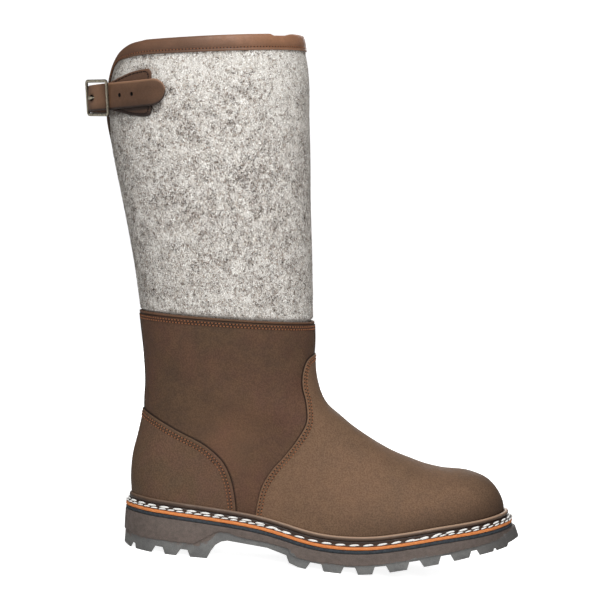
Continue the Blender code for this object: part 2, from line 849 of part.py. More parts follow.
def make_binding(parts, root):
    """Folded strip over the collar's edge: outer flap, fold, inner flap."""
    distance = felt_columns()
    height = edge_share(distance) * SHAFT_LENGTH
    run = np.roll(distance, -1) - np.roll(distance, 1)
    total = 2 * ROUND_LENGTHS[-1]
    run = (run + total / 2) % total - total / 2
    rise = np.roll(height, -1) - np.roll(height, 1)
    length = np.hypot(run, rise)
    inward = np.stack([rise / length, -run / length])
    drop = (1 - edge_share(distance)) * SHAFT_LENGTH
    flap = np.interp(drop, BINDING_OUTSIDE["drop"], BINDING_OUTSIDE["flap"])
    outside, over = BINDING_GAP, -BINDING_GAP
    inside = -FELT_WALL - BINDING_INNER_GAP
    section = (
        (flap, outside),
        (flap, outside + BINDING_WALL),
        (over - BINDING_BEVEL, outside + BINDING_WALL),
        (over - BINDING_WALL, outside + BINDING_BEVEL),
        (over - BINDING_WALL, inside - BINDING_BEVEL),
        (over - BINDING_BEVEL, inside - BINDING_WALL),
        (flap * BINDING_INSIDE, inside - BINDING_WALL),
        (flap * BINDING_INSIDE, inside),
        (over, inside),
        (over, outside),
    )
    loops = []
    for reach, lift in section:
        place = distance + inward[0] * reach
        share = (height + inward[1] * reach) / SHAFT_LENGTH
        loops.append(on_shaft(place, share, lift + 0 * distance))
    faces = grid_faces(len(loops), len(distance), close_rows=True, close_cols=True)
    mesh = solid_from("collar_binding", np.array(loops), faces)
    add_object("collar_binding", mesh, STRAP_LEATHER, parts, root)


def strap_share(distance):
    """Place on the shaft where the strap's middle runs, in a plane tilted across the boot."""
    angle = shaft_angle(distance)
    share = np.full(np.shape(distance), ROUND_AT)
    for _ in range(SHARE_STEPS):
        here = shaft_ring(share, angle)
        wanted = STRAP_Z + STRAP_SLOPE * (here[..., 0] - STRAP_X)
        share = share + (wanted - here[..., 2]) / SHAFT_LENGTH
    return share


def strap_lift(distance):
    """Clearance of the strap's inner face from the felt, bowed out over the slit and the buckle."""
    rest = np.where(np.asarray(distance) > 0, STRAP_LIFT, ROOT_LIFT)
    return rest + (STRAP_LIFT + BOW - rest) * (1 - ease(0.0, BOW_REACH, np.abs(distance - BOW_APEX)))


def band(name, kind, distance, below, above, lift, thickness, parts, root):
    """Leather band along the shaft: its width at each place, and its lift from the felt."""
    across = np.linspace(0, 1, 3)
    rows = []
    for part in across:
        share = strap_share(distance) + (above * part - below * (1 - part)) / SHAFT_LENGTH
        rows.append(on_shaft(distance, share, lift))
    faces = grid_faces(len(across), len(distance))
    thing = add_object(name, mesh_from(name, np.array(rows), faces), kind, parts, root)
    solidify(thing, thickness, 1)
    return thing


def make_strap(parts, cutters, root):
    tip_round = STRAP_WIDTH / 2
    tip = STRAP_TIP - tip_round * (1 - np.cos(np.linspace(TIP_BLUNT, math.pi / 2, TIP_STATIONS)))[::-1]
    distance = np.concatenate([np.linspace(STRAP_ROOT, tip[0], STRAP_STATIONS)[:-1], tip])
    half = np.where(
        distance > STRAP_TIP - tip_round,
        np.sqrt(np.maximum(tip_round**2 - (distance - STRAP_TIP + tip_round) ** 2, 0.0)),
        tip_round,
    )
    lift = strap_lift(distance)
    strap = band("strap", STRAP_LEATHER, distance, half, half, lift, STRAP_WALL, parts, root)
    holes = bpy.data.collections.new("strap_holes")
    cutters.children.link(holes)
    for number, place in enumerate(STRAP_HOLES):
        reach = STRAP_WALL
        line = [strap_point(place, strap_lift(place) + lift) for lift in (-reach, STRAP_WALL + reach)]
        rod(f"strap_hole_{number}", line, HOLE_RADIUS, None, holes, root)
    cut(strap, holes, "DIFFERENCE")


def strap_point(place, lift, rise=0.0):
    """Point off the shaft, by its distance round it, its lift and its rise from the strap's middle."""
    place = np.array(place)
    return on_shaft(place, strap_share(place) + rise / SHAFT_LENGTH, np.array(lift))


def rod(name, points, radius, kind, collection, root, closed=False):
    """Round bar along a line of points, made a mesh so that it can cut or be cut."""
    line = bpy.data.curves.new(name, "CURVE")
    line.dimensions = "3D"
    line.bevel_depth = radius * MM
    line.bevel_resolution = BAR_ROUNDNESS
    line.use_fill_caps = not closed
    spline = line.splines.new("POLY")
    spline.points.add(len(points) - 1)
    spline.use_cyclic_u = closed
    for point, place in zip(spline.points, points):
        point.co = (*(np.asarray(place) * MM), 1.0)
    guide = bpy.data.objects.new(f"{name}_line", line)
    bpy.context.scene.collection.objects.link(guide)
    bpy.context.view_layer.update()
    depsgraph = bpy.context.evaluated_depsgraph_get()
    mesh = bpy.data.meshes.new_from_object(guide.evaluated_get(depsgraph))
    bpy.data.objects.remove(guide)
    work = bmesh.new()
    work.from_mesh(mesh)
    bmesh.ops.remove_doubles(work, verts=work.verts, dist=MERGE * MM)
    bmesh.ops.recalc_face_normals(work, faces=work.faces)
    work.to_mesh(mesh)
    work.free()
    mesh.materials.clear()
    return add_object(name, mesh, kind, collection, root)


def make_patch(parts, root):
    distance = np.linspace(PATCH["round"][0], PATCH["round"][-1], PATCH_STATIONS)
    below = smooth(PATCH["round"], PATCH["below"], distance)
    above = smooth(PATCH["round"], PATCH["above"], distance)
    under_strap = strap_lift(distance) - PATCH_WALL - 2 * GAP
    band(
        "strap_patch", STRAP_LEATHER, distance, below, above, np.maximum(under_strap, ROOT_LIFT), PATCH_WALL,
        parts, root,
    )


def make_buckle(parts, root):
    """Frame with its inner bar under the strap and its outer bar over it, and the prong."""
    inner_lift = strap_lift(INNER_BAR) - BAR_GAP - BAR_RADIUS
    outer_lift = strap_lift(OUTER_BAR) + STRAP_WALL + BAR_GAP + BAR_RADIUS
    inner = strap_point(INNER_BAR, inner_lift)
    outer = strap_point(OUTER_BAR, outer_lift)
    along = (outer - inner) / np.linalg.norm(outer - inner)
    rise = FRAME_HEIGHT / 4
    up = strap_point(INNER_BAR, inner_lift, rise) - strap_point(INNER_BAR, inner_lift, -rise)
    up = up + strap_point(OUTER_BAR, outer_lift, rise) - strap_point(OUTER_BAR, outer_lift, -rise)
    up = up - along * np.dot(up, along)
    up = up / np.linalg.norm(up)
    width = np.linalg.norm(outer - inner)
    loop = []
    for right, top, start in ((1, 1, 0), (0, 1, 1), (0, 0, 2), (1, 0, 3)):
        for turn in np.linspace(0, math.pi / 2, CORNER_POINTS):
            angle = start * math.pi / 2 + turn
            middle_run = width - FRAME_CORNER if right else FRAME_CORNER
            middle_rise = (FRAME_HEIGHT / 2 - FRAME_CORNER) * (1 if top else -1)
            run = middle_run + FRAME_CORNER * math.cos(angle)
            rise = middle_rise + FRAME_CORNER * math.sin(angle)
            loop.append(inner + along * run + up * rise)
    rod("buckle_frame", loop, BAR_RADIUS, BRASS, parts, root, closed=True)
    hole = STRAP_HOLES[0]
    lift = strap_lift(hole)
    over = lift + STRAP_WALL + PRONG_RADIUS + 2 * GAP
    below = strap_point(hole - PRONG_START, lift - 2 * PRONG_RADIUS)
    through = strap_point(hole, lift + STRAP_WALL / 2)
    above = strap_point(hole + PRONG_BEND, over)
    tip = strap_point(hole + PRONG_REACH, over)
    rod("buckle_prong", [below, through, above, tip], PRONG_RADIUS, BRASS, parts, root)


def stand_over_origin(parts, root):
    """Put the middle of the boot's footprint box over the origin."""
    bpy.context.view_layer.update()
    depsgraph = bpy.context.evaluated_depsgraph_get()
    corners = []
    for thing in parts.objects:
        if thing.type == "MESH":
            evaluated = thing.evaluated_get(depsgraph)
            corners += [evaluated.matrix_world @ vertex.co for vertex in evaluated.data.vertices]
    low = [min(corner[axis] for corner in corners) for axis in range(3)]
    high = [max(corner[axis] for corner in corners) for axis in range(3)]
    root.location = (-(low[0] + high[0]) / 2, -(low[1] + high[1]) / 2, -low[2])


def main():
    for thing in list(bpy.data.objects):
        bpy.data.objects.remove(thing, do_unlink=True)
    parts = bpy.data.collections.new("winter_boot")
    cutters = bpy.data.collections.new("cutters")
    bpy.context.scene.collection.children.link(parts)
    bpy.context.scene.collection.children.link(cutters)
    root = bpy.data.objects.new("boot", None)
    parts.objects.link(root)
    make_outsole(parts, cutters, root)
    make_sole_layers(parts, root)
    make_welt(parts, root)
    make_upper(parts, root)
    make_overlay("vamp", VAMP_EDGE, PAST_TOE, parts, cutters, root)
    make_overlay("heel_counter", COUNTER_EDGE, PAST_HEEL, parts, cutters, root)
    make_felt(parts, root)
    make_binding(parts, root)
    make_patch(parts, root)
    make_strap(parts, cutters, root)
    make_buckle(parts, root)
    stand_over_origin(parts, root)


main()
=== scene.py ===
import json
import math

import bmesh
import bpy
import numpy as np
from mathutils import Matrix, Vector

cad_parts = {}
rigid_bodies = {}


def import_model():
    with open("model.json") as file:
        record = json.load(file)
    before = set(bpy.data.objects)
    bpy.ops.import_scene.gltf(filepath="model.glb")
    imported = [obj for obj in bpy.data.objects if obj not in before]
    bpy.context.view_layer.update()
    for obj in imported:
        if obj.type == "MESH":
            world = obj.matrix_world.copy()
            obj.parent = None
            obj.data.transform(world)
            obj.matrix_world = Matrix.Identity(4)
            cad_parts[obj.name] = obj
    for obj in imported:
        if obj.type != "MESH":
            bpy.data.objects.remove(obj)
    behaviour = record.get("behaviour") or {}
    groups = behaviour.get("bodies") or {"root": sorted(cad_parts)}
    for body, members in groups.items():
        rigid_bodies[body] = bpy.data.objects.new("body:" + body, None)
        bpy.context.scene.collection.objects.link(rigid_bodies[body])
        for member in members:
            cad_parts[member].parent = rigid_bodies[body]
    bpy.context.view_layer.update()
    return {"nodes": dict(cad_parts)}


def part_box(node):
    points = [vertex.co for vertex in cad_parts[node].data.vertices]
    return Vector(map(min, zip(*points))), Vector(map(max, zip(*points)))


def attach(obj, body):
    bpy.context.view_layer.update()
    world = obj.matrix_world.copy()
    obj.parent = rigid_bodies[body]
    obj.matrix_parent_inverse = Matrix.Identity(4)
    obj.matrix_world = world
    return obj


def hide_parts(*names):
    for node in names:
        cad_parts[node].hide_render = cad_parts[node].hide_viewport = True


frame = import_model()
print("frame loaded:", len(frame["nodes"]), "solids")

mm = 0.001


def table(names, *rows):
    return dict(zip(names.split(), np.array(rows, float).T))


# The boot's own sizes, in millimetres from the back of the heel: toe along +X, outer side along -Y
soleShape = {
    "plan": table(
        "x lateral medial",
        (-1.5, 0.0, 0.0), (8.0, 21.5, 21.0), (20.0, 32.0, 31.5), (40.0, 37.8, 37.0), (80.0, 38.5, 36.0),
        (120.0, 41.0, 36.5), (160.0, 48.0, 44.0), (200.0, 53.0, 53.0), (230.0, 51.5, 56.0), (260.0, 44.0, 51.5),
        (281.0, 33.0, 43.0), (295.6, 17.0, 30.0), (302.3, -7.0, 7.0),
    ),
    "seat": table(  # top of the rubber layer: arch and toe spring
        "x z",
        (-1.5, 31.2), (32.0, 30.7), (65.0, 29.3), (113.0, 24.9), (125.0, 22.6), (137.0, 20.2), (149.0, 18.6),
        (161.0, 18.1), (177.0, 18.8), (195.0, 21.2), (213.0, 25.2), (243.0, 32.6), (274.0, 39.1), (302.3, 45.8),
    ),
    "underside": table(  # heel, breast, waist, first lug, ball
        "x z",
        (-1.5, 2.0), (5.0, 0.0), (68.5, 0.0), (71.0, 6.5), (73.5, 11.0), (77.5, 14.0), (82.0, 15.2),
        (114.5, 12.9), (130.0, 9.0), (133.5, 3.4), (140.0, 1.0), (148.0, 0.0), (177.0, 0.0),
    ),
    "grooves": table(
        "x root mouth depth",
        (9.0, 2.0, 4.0, 4.0), (29.8, 5.6, 10.6, 5.2), (49.8, 5.2, 10.8, 5.2), (151.6, 8.4, 14.0, 5.6),
        (175.5, 8.6, 13.6, 5.6), (197.5, 8.6, 13.6, 5.6), (222.5, 8.0, 13.2, 5.6), (246.6, 7.4, 12.4, 5.6),
        (268.6, 4.2, 8.4, 4.4), (284.4, 1.2, 2.4, 1.8),
    ),
    "channels": table("start end inset width depth", (8.0, 60.0, 19.0, 5.0, 4.2), (142.0, 284.0, 25.0, 6.0, 4.6)),
    "forefoot": table(  # seat line to tread from the ball on
        "x depth",
        (177.0, 18.7), (195.0, 18.5), (213.0, 18.1), (240.0, 18.0), (256.0, 17.3), (270.0, 16.3), (285.0, 15.4),
        (292.0, 14.8), (293.2, 12.4), (302.3, 11.0),
    ),
    "rubberLayer": 2.6,
    "leatherLayer": 2.9,
    "feather": table("x inset", (-1.5, 5.8), (262.0, 6.8), (302.3, 8.5)),
    "featherGap": 0.7,
}
upperShape = {
    "back": table(
        "z x",
        (34.0, 4.3), (42.0, 3.4), (52.0, 1.9), (70.0, 1.6), (90.0, 4.6), (106.0, 6.2), (116.0, 5.6), (128.0, 5.2),
        (147.0, 2.6), (184.0, -4.7), (211.0, -9.8), (267.0, -25.7), (321.0, -40.5), (345.0, -44.0),
        (368.0, -45.0), (392.0, -44.0),
    ),
    "front": table(
        "x z",
        (293.8, 47.8), (293.2, 57.2), (287.6, 68.1), (279.2, 76.0), (266.5, 80.3), (241.2, 81.5), (215.2, 87.3),
        (188.7, 97.4), (161.8, 113.2), (145.2, 126.6), (136.6, 146.0), (134.3, 160.0), (133.7, 173.0),
        (129.6, 203.0), (121.6, 268.0), (113.3, 342.0), (108.8, 380.0), (101.4, 407.0),
    ),
    "leg": table(
        "z halfWidth backRound frontRound",
        (34.0, 34.0, 40.0, 60.0), (100.0, 36.5, 52.0, 60.0), (140.0, 43.0, 62.0, 62.0), (184.0, 51.0, 66.0, 70.0),
        (270.0, 56.0, 72.0, 74.0), (407.0, 60.0, 74.0, 73.0),
    ),
    "rings": table(  # along the front line, and height on the back line
        "front back",
        (0.0, 34.8), (10.9, 39.5), (26.9, 44.0), (44.9, 48.5), (76.9, 54.5), (108.9, 62.0), (142.9, 75.0),
        (170.9, 92.0), (189.9, 113.0), (208.9, 138.0), (226.9, 162.0), (242.9, 184.0),
    ),
    "legRoundness": 2.1,
    "archRise": 2.3,
    "archRoundness": 2.0,
    "crownFrom": 180.0,
    "legFrom": (62.0, 132.0),
    "footFrom": table("z x", (40.0, 66.0), (150.0, 134.0)),
    "footBlend": 78.0,
    "flatAt": 104.0,
    "dipFade": 1.5,
}
shaftShape = {
    "foot": (184.0, 188.5),  # heights at the back and at the front
    "collar": (385.7, 406.6),
    "roundAt": 0.9,
    "edge": table(  # collar's edge from the slit at centre back
        "round drop",
        (0.0, 89.0), (1.7, 88.0), (2.9, 85.0), (3.8, 77.0), (6.2, 58.0), (10.5, 42.0), (18.0, 26.5), (25.0, 15.0),
        (33.0, 7.5), (43.0, 2.8), (60.0, 0.0),
    ),
}
lineSamples = 600


def smooth(xs, ys, at):
    span = np.diff(xs)
    slope = np.diff(ys) / span
    inner = (slope[:-1] * span[1:] + slope[1:] * span[:-1]) / (span[:-1] + span[1:])
    tangent = np.concatenate([slope[:1], inner, slope[-1:]])
    at = np.clip(at, xs[0], xs[-1])
    k = np.clip(np.searchsorted(xs, at, side="right") - 1, 0, len(span) - 1)
    t = (at - xs[k]) / span[k]
    rise = ys[k] * (1 + 2 * t) * (1 - t) ** 2 + ys[k + 1] * t * t * (3 - 2 * t)
    lean = tangent[k] * t * (1 - t) ** 2 - tangent[k + 1] * t * t * (1 - t)
    return rise + lean * span[k]


def ease(low, high, at):
    t = np.clip((at - low) / (high - low), 0.0, 1.0)
    return t * t * (3 - 2 * t)


def bell(offset, width):
    return np.exp(-((offset / width) ** 2))


def lineThrough(xs, zs, count):
    along = np.concatenate([[0.0], np.cumsum(np.hypot(np.diff(xs), np.diff(zs)))])
    at = np.linspace(0.0, along[-1], count)
    return smooth(along, xs, at), smooth(along, zs, at), at


def lengths(points):
    return np.concatenate([[0.0], np.cumsum(np.linalg.norm(np.diff(points, axis=0), axis=1))])


def unit(vectors):
    return vectors / np.maximum(np.linalg.norm(vectors, axis=-1, keepdims=True), 1e-9)


def pointsAt(at, along, points):
    return np.stack([np.interp(at, along, points[:, k]) for k in range(3)], -1)


# Sole surface
heelX = soleShape["plan"]["x"][0]
toeX = soleShape["plan"]["x"][-1]
toeSwing = soleShape["plan"]["medial"][-1]
probe = {  # small steps for slopes
    "outline": 1e-3, "place": 0.01, "angle": 0.002, "normalPlace": 0.04, "normalAngle": 0.012, "shaft": 0.02,
}


def seat(x):
    return smooth(soleShape["seat"]["x"], soleShape["seat"]["z"], x)


def seatTilt(x):
    x = np.clip(x, heelX + 1, toeX - 1)
    return np.arctan((seat(x + 1) - seat(x - 1)) / 2)


def treadDepth(x):
    under = soleShape["underside"]
    flat = (seat(x) - np.interp(x, under["x"], under["z"])) / np.cos(seatTilt(x))
    fore = np.interp(x, soleShape["forefoot"]["x"], soleShape["forefoot"]["depth"])
    return np.where(x <= under["x"][-1], flat, fore)


def planAngle(x):
    return np.arccos(np.clip(1 - 2 * (x - heelX) / (toeX - heelX), -1, 1))


def outline(x, inset):
    plan = soleShape["plan"]
    marks = planAngle(plan["x"])
    angle = planAngle(x)
    run = (toeX - heelX) / 2 * np.sin(angle)
    ahead = np.minimum(angle + probe["outline"], math.pi)
    behind = np.maximum(angle - probe["outline"], 0.0)
    sides = []
    for column, sign in (("lateral", -1), ("medial", 1)):
        y = sign * smooth(marks, plan[column], angle)
        fall = sign * (smooth(marks, plan[column], ahead) - smooth(marks, plan[column], behind)) / (ahead - behind)
        length = np.hypot(run, fall)
        sides.append((x + sign * fall * inset / length, y - sign * run * inset / length))
    return sides


def solePoint(x, y, depth):
    tilt = seatTilt(x)
    below = np.maximum(depth, 0.0)
    z = seat(x) - below * np.cos(tilt) - np.minimum(depth, 0.0)
    return np.stack([x + below * np.sin(tilt), y, z], -1)


def soleStations(count):
    angle = (np.arange(count) + 0.5) * math.pi / count
    return heelX + (toeX - heelX) * (1 - np.cos(angle)) / 2


def soleLoop(x, inset, depth):
    (outerX, outerY), (innerX, innerY) = outline(x, inset)
    depth = depth + 0 * x
    return np.concatenate([solePoint(outerX, outerY, depth), solePoint(innerX, innerY, depth)[::-1]])


def featherInset(x):
    return np.interp(x, soleShape["feather"]["x"], soleShape["feather"]["inset"])


# Upper surface: place runs up the rings, angle runs round from centre back, outer side first
frontX, frontZ, frontAlong = lineThrough(upperShape["front"]["x"], upperShape["front"]["z"], lineSamples)
planSamples = heelX + (toeX - heelX) * (1 - np.cos(np.linspace(0, math.pi, lineSamples))) / 2
footOutline = outline(planSamples, featherInset(planSamples))
topPlace = len(upperShape["rings"]["front"]) - 1.0


def base(x):
    return seat(x) + soleShape["leatherLayer"] + soleShape["featherGap"]


def footHalfWidth(x, side):
    planX, planY = footOutline[side]
    low, high = planX[0], planX[-1]
    spread = np.arccos(np.clip(1 - 2 * (planX - low) / (high - low), -1, 1))
    return np.interp(np.arccos(np.clip(1 - 2 * (x - low) / (high - low), -1, 1)), spread, planY)


def roundEnd(share, power):
    return (1 - (1 - np.clip(share, 0.0, 1.0)) ** power) ** (1 / power)


def backX(z):
    return smooth(upperShape["back"]["z"], upperShape["back"]["x"], z)


def crown(x):
    return toeSwing * ease(upperShape["crownFrom"], toeX, x)


def sideY(x, z, side):
    shape = upperShape
    sign = (-1, 1)[side]
    leg = {name: np.interp(z, shape["leg"]["z"], shape["leg"][name]) for name in shape["leg"]}
    oval = roundEnd((x - backX(z)) / leg["backRound"], shape["legRoundness"])
    oval = oval * roundEnd((np.interp(z, frontZ, frontX) - x) / leg["frontRound"], shape["legRoundness"])
    oval = sign * leg["halfWidth"] * oval
    heel = footHalfWidth(x - (backX(z) - shape["back"]["x"][0]), side)
    legShare = ease(*shape["legFrom"], z)
    rear = (1 - legShare) * heel + legShare * oval
    top = np.interp(-x, -frontX, frontZ)
    low = base(x)
    height = np.clip((z - low) / np.maximum(top - low, 1.0), 0.0, 1.0)
    arch = (1 - height ** shape["archRise"]) ** (1 / shape["archRoundness"])
    fore = crown(x) + (footHalfWidth(x, side) - crown(x)) * arch
    start = np.interp(z, shape["footFrom"]["z"], shape["footFrom"]["x"])
    foreShare = ease(start, start + shape["footBlend"], x)
    return (1 - foreShare) * rear + foreShare * fore


def ring(back, front, angles, dip=0.0):
    share = (1 - np.cos(angles)) / 2
    x = back[0] + (front[0] - back[0]) * share
    straight = base(back[0]) + (base(front[0]) - base(back[0])) * share
    z = back[1] + (front[1] - back[1]) * share + dip * (base(x) - straight)
    y = np.where(np.sin(angles) >= 0, sideY(x, z, 0), sideY(x, z, 1))
    y = np.where(np.abs(np.sin(angles)) < 1e-6, crown(x) * (share > 0.5), y)
    return np.stack([x, y, z], -1)


def upperPoint(place, angles):
    rings = upperShape["rings"]
    rows = np.arange(len(rings["front"]))
    along = smooth(rows, rings["front"], place)
    height = smooth(rows, rings["back"], place)
    front = np.interp(along, frontAlong, frontX), np.interp(along, frontAlong, frontZ)
    low = rings["back"][0]
    dip = np.clip(1 - (height - low) / (upperShape["flatAt"] - low), 0.0, 1.0) ** upperShape["dipFade"]
    return ring((backX(height), height), front, angles, dip)


def upperNormal(place, angles):
    turn, climb = probe["normalAngle"], probe["normalPlace"]
    roundWay = upperPoint(place, angles + turn) - upperPoint(place, angles - turn)
    upWay = upperPoint(place + climb, angles) - upperPoint(place - climb, angles)
    return unit(np.cross(roundWay, upWay))


def slopes(place, angle):  # a point of the upper, and how it moves with place and with angle
    here = upperPoint(place, angle)
    byPlace = (upperPoint(place + probe["place"], angle) - here) / probe["place"]
    byAngle = (upperPoint(place, angle + probe["angle"]) - here) / probe["angle"]
    return here, byPlace, byAngle


def shaftRing(share, angles):
    foot, collar = shaftShape["foot"], shaftShape["collar"]
    backZ = foot[0] + (collar[0] - foot[0]) * share
    frontAt = foot[1] + (collar[1] - foot[1]) * share
    return ring((backX(backZ), backZ), (np.interp(frontAt, frontZ, frontX), frontAt), angles)


shaftLength = (sum(shaftShape["collar"]) - sum(shaftShape["foot"])) / 2
roundAngles = np.linspace(0, math.pi, lineSamples)
roundLengths = lengths(shaftRing(shaftShape["roundAt"], roundAngles))
halfRound = roundLengths[-1]


def shaftAngle(distance):
    return np.sign(distance) * np.interp(np.abs(distance), roundLengths, roundAngles)


def onShaft(distance, share, lift=0.0):
    angle, step = shaftAngle(distance), probe["shaft"]
    roundWay = shaftRing(share, angle + step) - shaftRing(share, angle - step)
    upWay = shaftRing(share + step, angle) - shaftRing(share - step, angle)
    return shaftRing(share, angle) + unit(np.cross(roundWay, upWay)) * np.asarray(lift)[..., None]


# Where the boot stands in the frame, read off the rubber layer that both scripts make alike
rubberInset, solidStations = 0.2, 30
soleStart = soleLoop(soleStations(solidStations), rubberInset, 0.0)[:, 0].min()
standAt = np.array([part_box("rubber_midsole")[0].x / mm - soleStart, 0.0, 0.0])


def toWorld(points):
    return (np.asarray(points, float) + standAt) * mm


def gridFaces(rows, cols, closeRows=False, closeCols=False):
    i, j = np.meshgrid(np.arange(rows - (not closeRows)), np.arange(cols - (not closeCols)), indexing="ij")
    below, right = (i + 1) % rows, (j + 1) % cols
    return np.stack([i * cols + j, i * cols + right, below * cols + right, below * cols + j], -1).reshape(-1, 4)


def tubeFaces(rows, cols):  # closed round its columns, with a cap at each end
    last = cols * (rows - 1)
    caps = [list(range(cols - 1, -1, -1)), list(range(last, last + cols))]
    return gridFaces(rows, cols, closeCols=True).tolist() + caps


def setMask(mesh, label, numbers):  # a number or a colour at each point, for the materials
    coloured = np.ndim(numbers) > 1 and np.shape(numbers)[-1] == 4
    layer = mesh.attributes.new(label, "FLOAT_COLOR" if coloured else "FLOAT", "POINT")
    layer.data.foreach_set("color" if coloured else "value", np.asarray(numbers, np.float32).ravel())


def addMesh(name, points, faces, materials, masks=None, faceMaterial=None):
    mesh = bpy.data.meshes.new(name)
    faces = faces if isinstance(faces, list) else faces.tolist()
    mesh.from_pydata(toWorld(points).reshape(-1, 3).tolist(), [], faces)
    mesh.shade_smooth()
    for material in materials:
        mesh.materials.append(material)
    if faceMaterial is not None:
        mesh.polygons.foreach_set("material_index", np.asarray(faceMaterial, np.int32))
    for label, numbers in (masks or {}).items():
        setMask(mesh, label, numbers)
    mesh.update()
    piece = bpy.data.objects.new(name, mesh)
    bpy.context.scene.collection.objects.link(piece)
    return piece


def pointOut(piece, merge=0.0):  # faces turned outward, after points that lie together are joined
    work = bmesh.new()
    work.from_mesh(piece.data)
    if merge:
        bmesh.ops.remove_doubles(work, verts=work.verts, dist=merge)
    bmesh.ops.recalc_face_normals(work, faces=work.faces)
    work.to_mesh(piece.data)
    work.free()


def settle(piece):  # modifiers become the piece's own mesh
    bpy.context.view_layer.update()
    made = bpy.data.meshes.new_from_object(piece.evaluated_get(bpy.context.evaluated_depsgraph_get()))
    piece.modifiers.clear()
    piece.data = made


def keep(piece, slot, *nodes):
    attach(piece, "root")
    if nodes:
        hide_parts(*nodes)
    print("made", piece.name, len(piece.data.polygons), "faces")
    return piece


def feed(tree, socket, value):
    if isinstance(value, bpy.types.NodeSocket):
        tree.links.new(value, socket)
    else:
        socket.default_value = value


def put(tree, kind, inputs=None, **settings):
    made = tree.nodes.new(kind)
    for key, value in settings.items():
        setattr(made, key, value)
    for key, value in (inputs or {}).items():
        feed(tree, made.inputs[key], value)
    return made


def objectSpot(tree):
    return put(tree, "ShaderNodeTexCoord").outputs["Object"]


def mixColour(tree, factor, first, second, blend="MIX"):
    made = put(tree, "ShaderNodeMix", data_type="RGBA", blend_type=blend)
    feed(tree, made.inputs[0], factor)
    feed(tree, made.inputs[6], first)
    feed(tree, made.inputs[7], second)
    return made.outputs[2]


def ramp(tree, value, low, high, toLow=0.0, toHigh=1.0):
    ends = {"Value": value, "From Min": low, "From Max": high, "To Min": toLow, "To Max": toHigh}
    return put(tree, "ShaderNodeMapRange", ends, interpolation_type="SMOOTHSTEP").outputs["Result"]


def maths(tree, operation, first, second):
    return put(tree, "ShaderNodeMath", {0: first, 1: second}, operation=operation).outputs[0]


def socketKind(label):
    return {"Spot": "NodeSocketVector", "Colour": "NodeSocketColor"}.get(label.split()[-1], "NodeSocketFloat")


def newGroup(name, inputs, outputs):
    group = bpy.data.node_groups.new(name, "ShaderNodeTree")
    for label, value in inputs.items():
        socket = group.interface.new_socket(label, in_out="INPUT", socket_type=socketKind(label))
        if value is not None:
            socket.default_value = value
    for label in outputs:
        group.interface.new_socket(label, in_out="OUTPUT", socket_type=socketKind(label))
    return group, group.nodes.new("NodeGroupInput").outputs, group.nodes.new("NodeGroupOutput").inputs


def noise(tree, spot, scale, detail=2.0, roughness=0.5, distortion=0.0):
    made = put(tree, "ShaderNodeTexNoise", {
        "Vector": spot, "Scale": scale, "Detail": detail, "Roughness": roughness, "Distortion": distortion,
    })
    return made.outputs["Fac"]


def makeMottleGroup():  # soft patches of a hide or of worn rubber, 0 to 1
    group, given, out = newGroup("softMottle", {"Spot": None, "Patch Size": 0.03}, ["Patches", "Clouds"])
    scale = maths(group, "DIVIDE", 1.0, given["Patch Size"])
    patches = noise(group, given["Spot"], scale, 2.5, 0.55, 0.4)
    feed(group, out["Patches"], ramp(group, patches, 0.32, 0.68))
    clouds = noise(group, given["Spot"], maths(group, "MULTIPLY", scale, 4.3), 3.0, 0.6)
    feed(group, out["Clouds"], ramp(group, clouds, 0.3, 0.7))
    return group


def makeGrainGroup():  # fine surface: a height for bump, and speckles for colour
    sizes = {"Spot": None, "Grain Size": 0.0008, "Pore Size": 0.002}
    group, given, out = newGroup("fineGrain", sizes, ["Height", "Speckle"])
    fine = noise(group, given["Spot"], maths(group, "DIVIDE", 1.0, given["Grain Size"]), 3.0, 0.65)
    pores = put(group, "ShaderNodeTexVoronoi", {
        "Vector": given["Spot"], "Scale": maths(group, "DIVIDE", 1.0, given["Pore Size"]), "Randomness": 1.0,
    }, feature="SMOOTH_F1").outputs["Distance"]
    feed(group, out["Height"], maths(group, "ADD", fine, maths(group, "MULTIPLY", pores, 0.35)))
    feed(group, out["Speckle"], ramp(group, fine, 0.35, 0.65))
    return group


def makeTintGroup():  # a colour made lighter or darker by a shade around 1
    group, given, out = newGroup("shadeTint", {"Colour": None, "Shade": 1.0}, ["Colour"])
    shade = put(group, "ShaderNodeCombineXYZ", {axis: given["Shade"] for axis in range(3)}).outputs[0]
    feed(group, out["Colour"], mixColour(group, 1.0, given["Colour"], shade, "MULTIPLY"))
    return group


def makeEdgeShadeGroup():  # cut edges and painted highlights in a light colour, then painted shade (seams, folds, recesses, undersides) in a dark one, over a leather's colour
    masks = {"Colour": None, "Edge": 0.0, "Edge Colour": None, "Seam": 0.0, "Seam Colour": None}
    group, given, out = newGroup("cutEdgesAndPaintedShade", masks, ["Colour"])
    colour = mixColour(group, given["Edge"], given["Colour"], given["Edge Colour"])
    feed(group, out["Colour"], mixColour(group, given["Seam"], colour, given["Seam Colour"]))
    return group


mottleGroup, grainGroup, tintGroup, edgeShadeGroup = makeMottleGroup(), makeGrainGroup(), makeTintGroup(), makeEdgeShadeGroup()


def grouped(tree, group, inputs):
    return put(tree, "ShaderNodeGroup", inputs, node_tree=group).outputs


def mottled(tree, patchSize):
    return grouped(tree, mottleGroup, {"Spot": objectSpot(tree), "Patch Size": patchSize})


def grained(tree, grainSize, poreSize):
    return grouped(tree, grainGroup, {"Spot": objectSpot(tree), "Grain Size": grainSize, "Pore Size": poreSize})


def tinted(tree, colour, shade):
    return grouped(tree, tintGroup, {"Colour": colour, "Shade": shade})["Colour"]


def attribute(tree, name, output="Fac"):
    return put(tree, "ShaderNodeAttribute", attribute_name=name).outputs[output]


def mapped(tree, **settings):
    return put(tree, "ShaderNodeMapping", {"Vector": objectSpot(tree), **settings}).outputs[0]


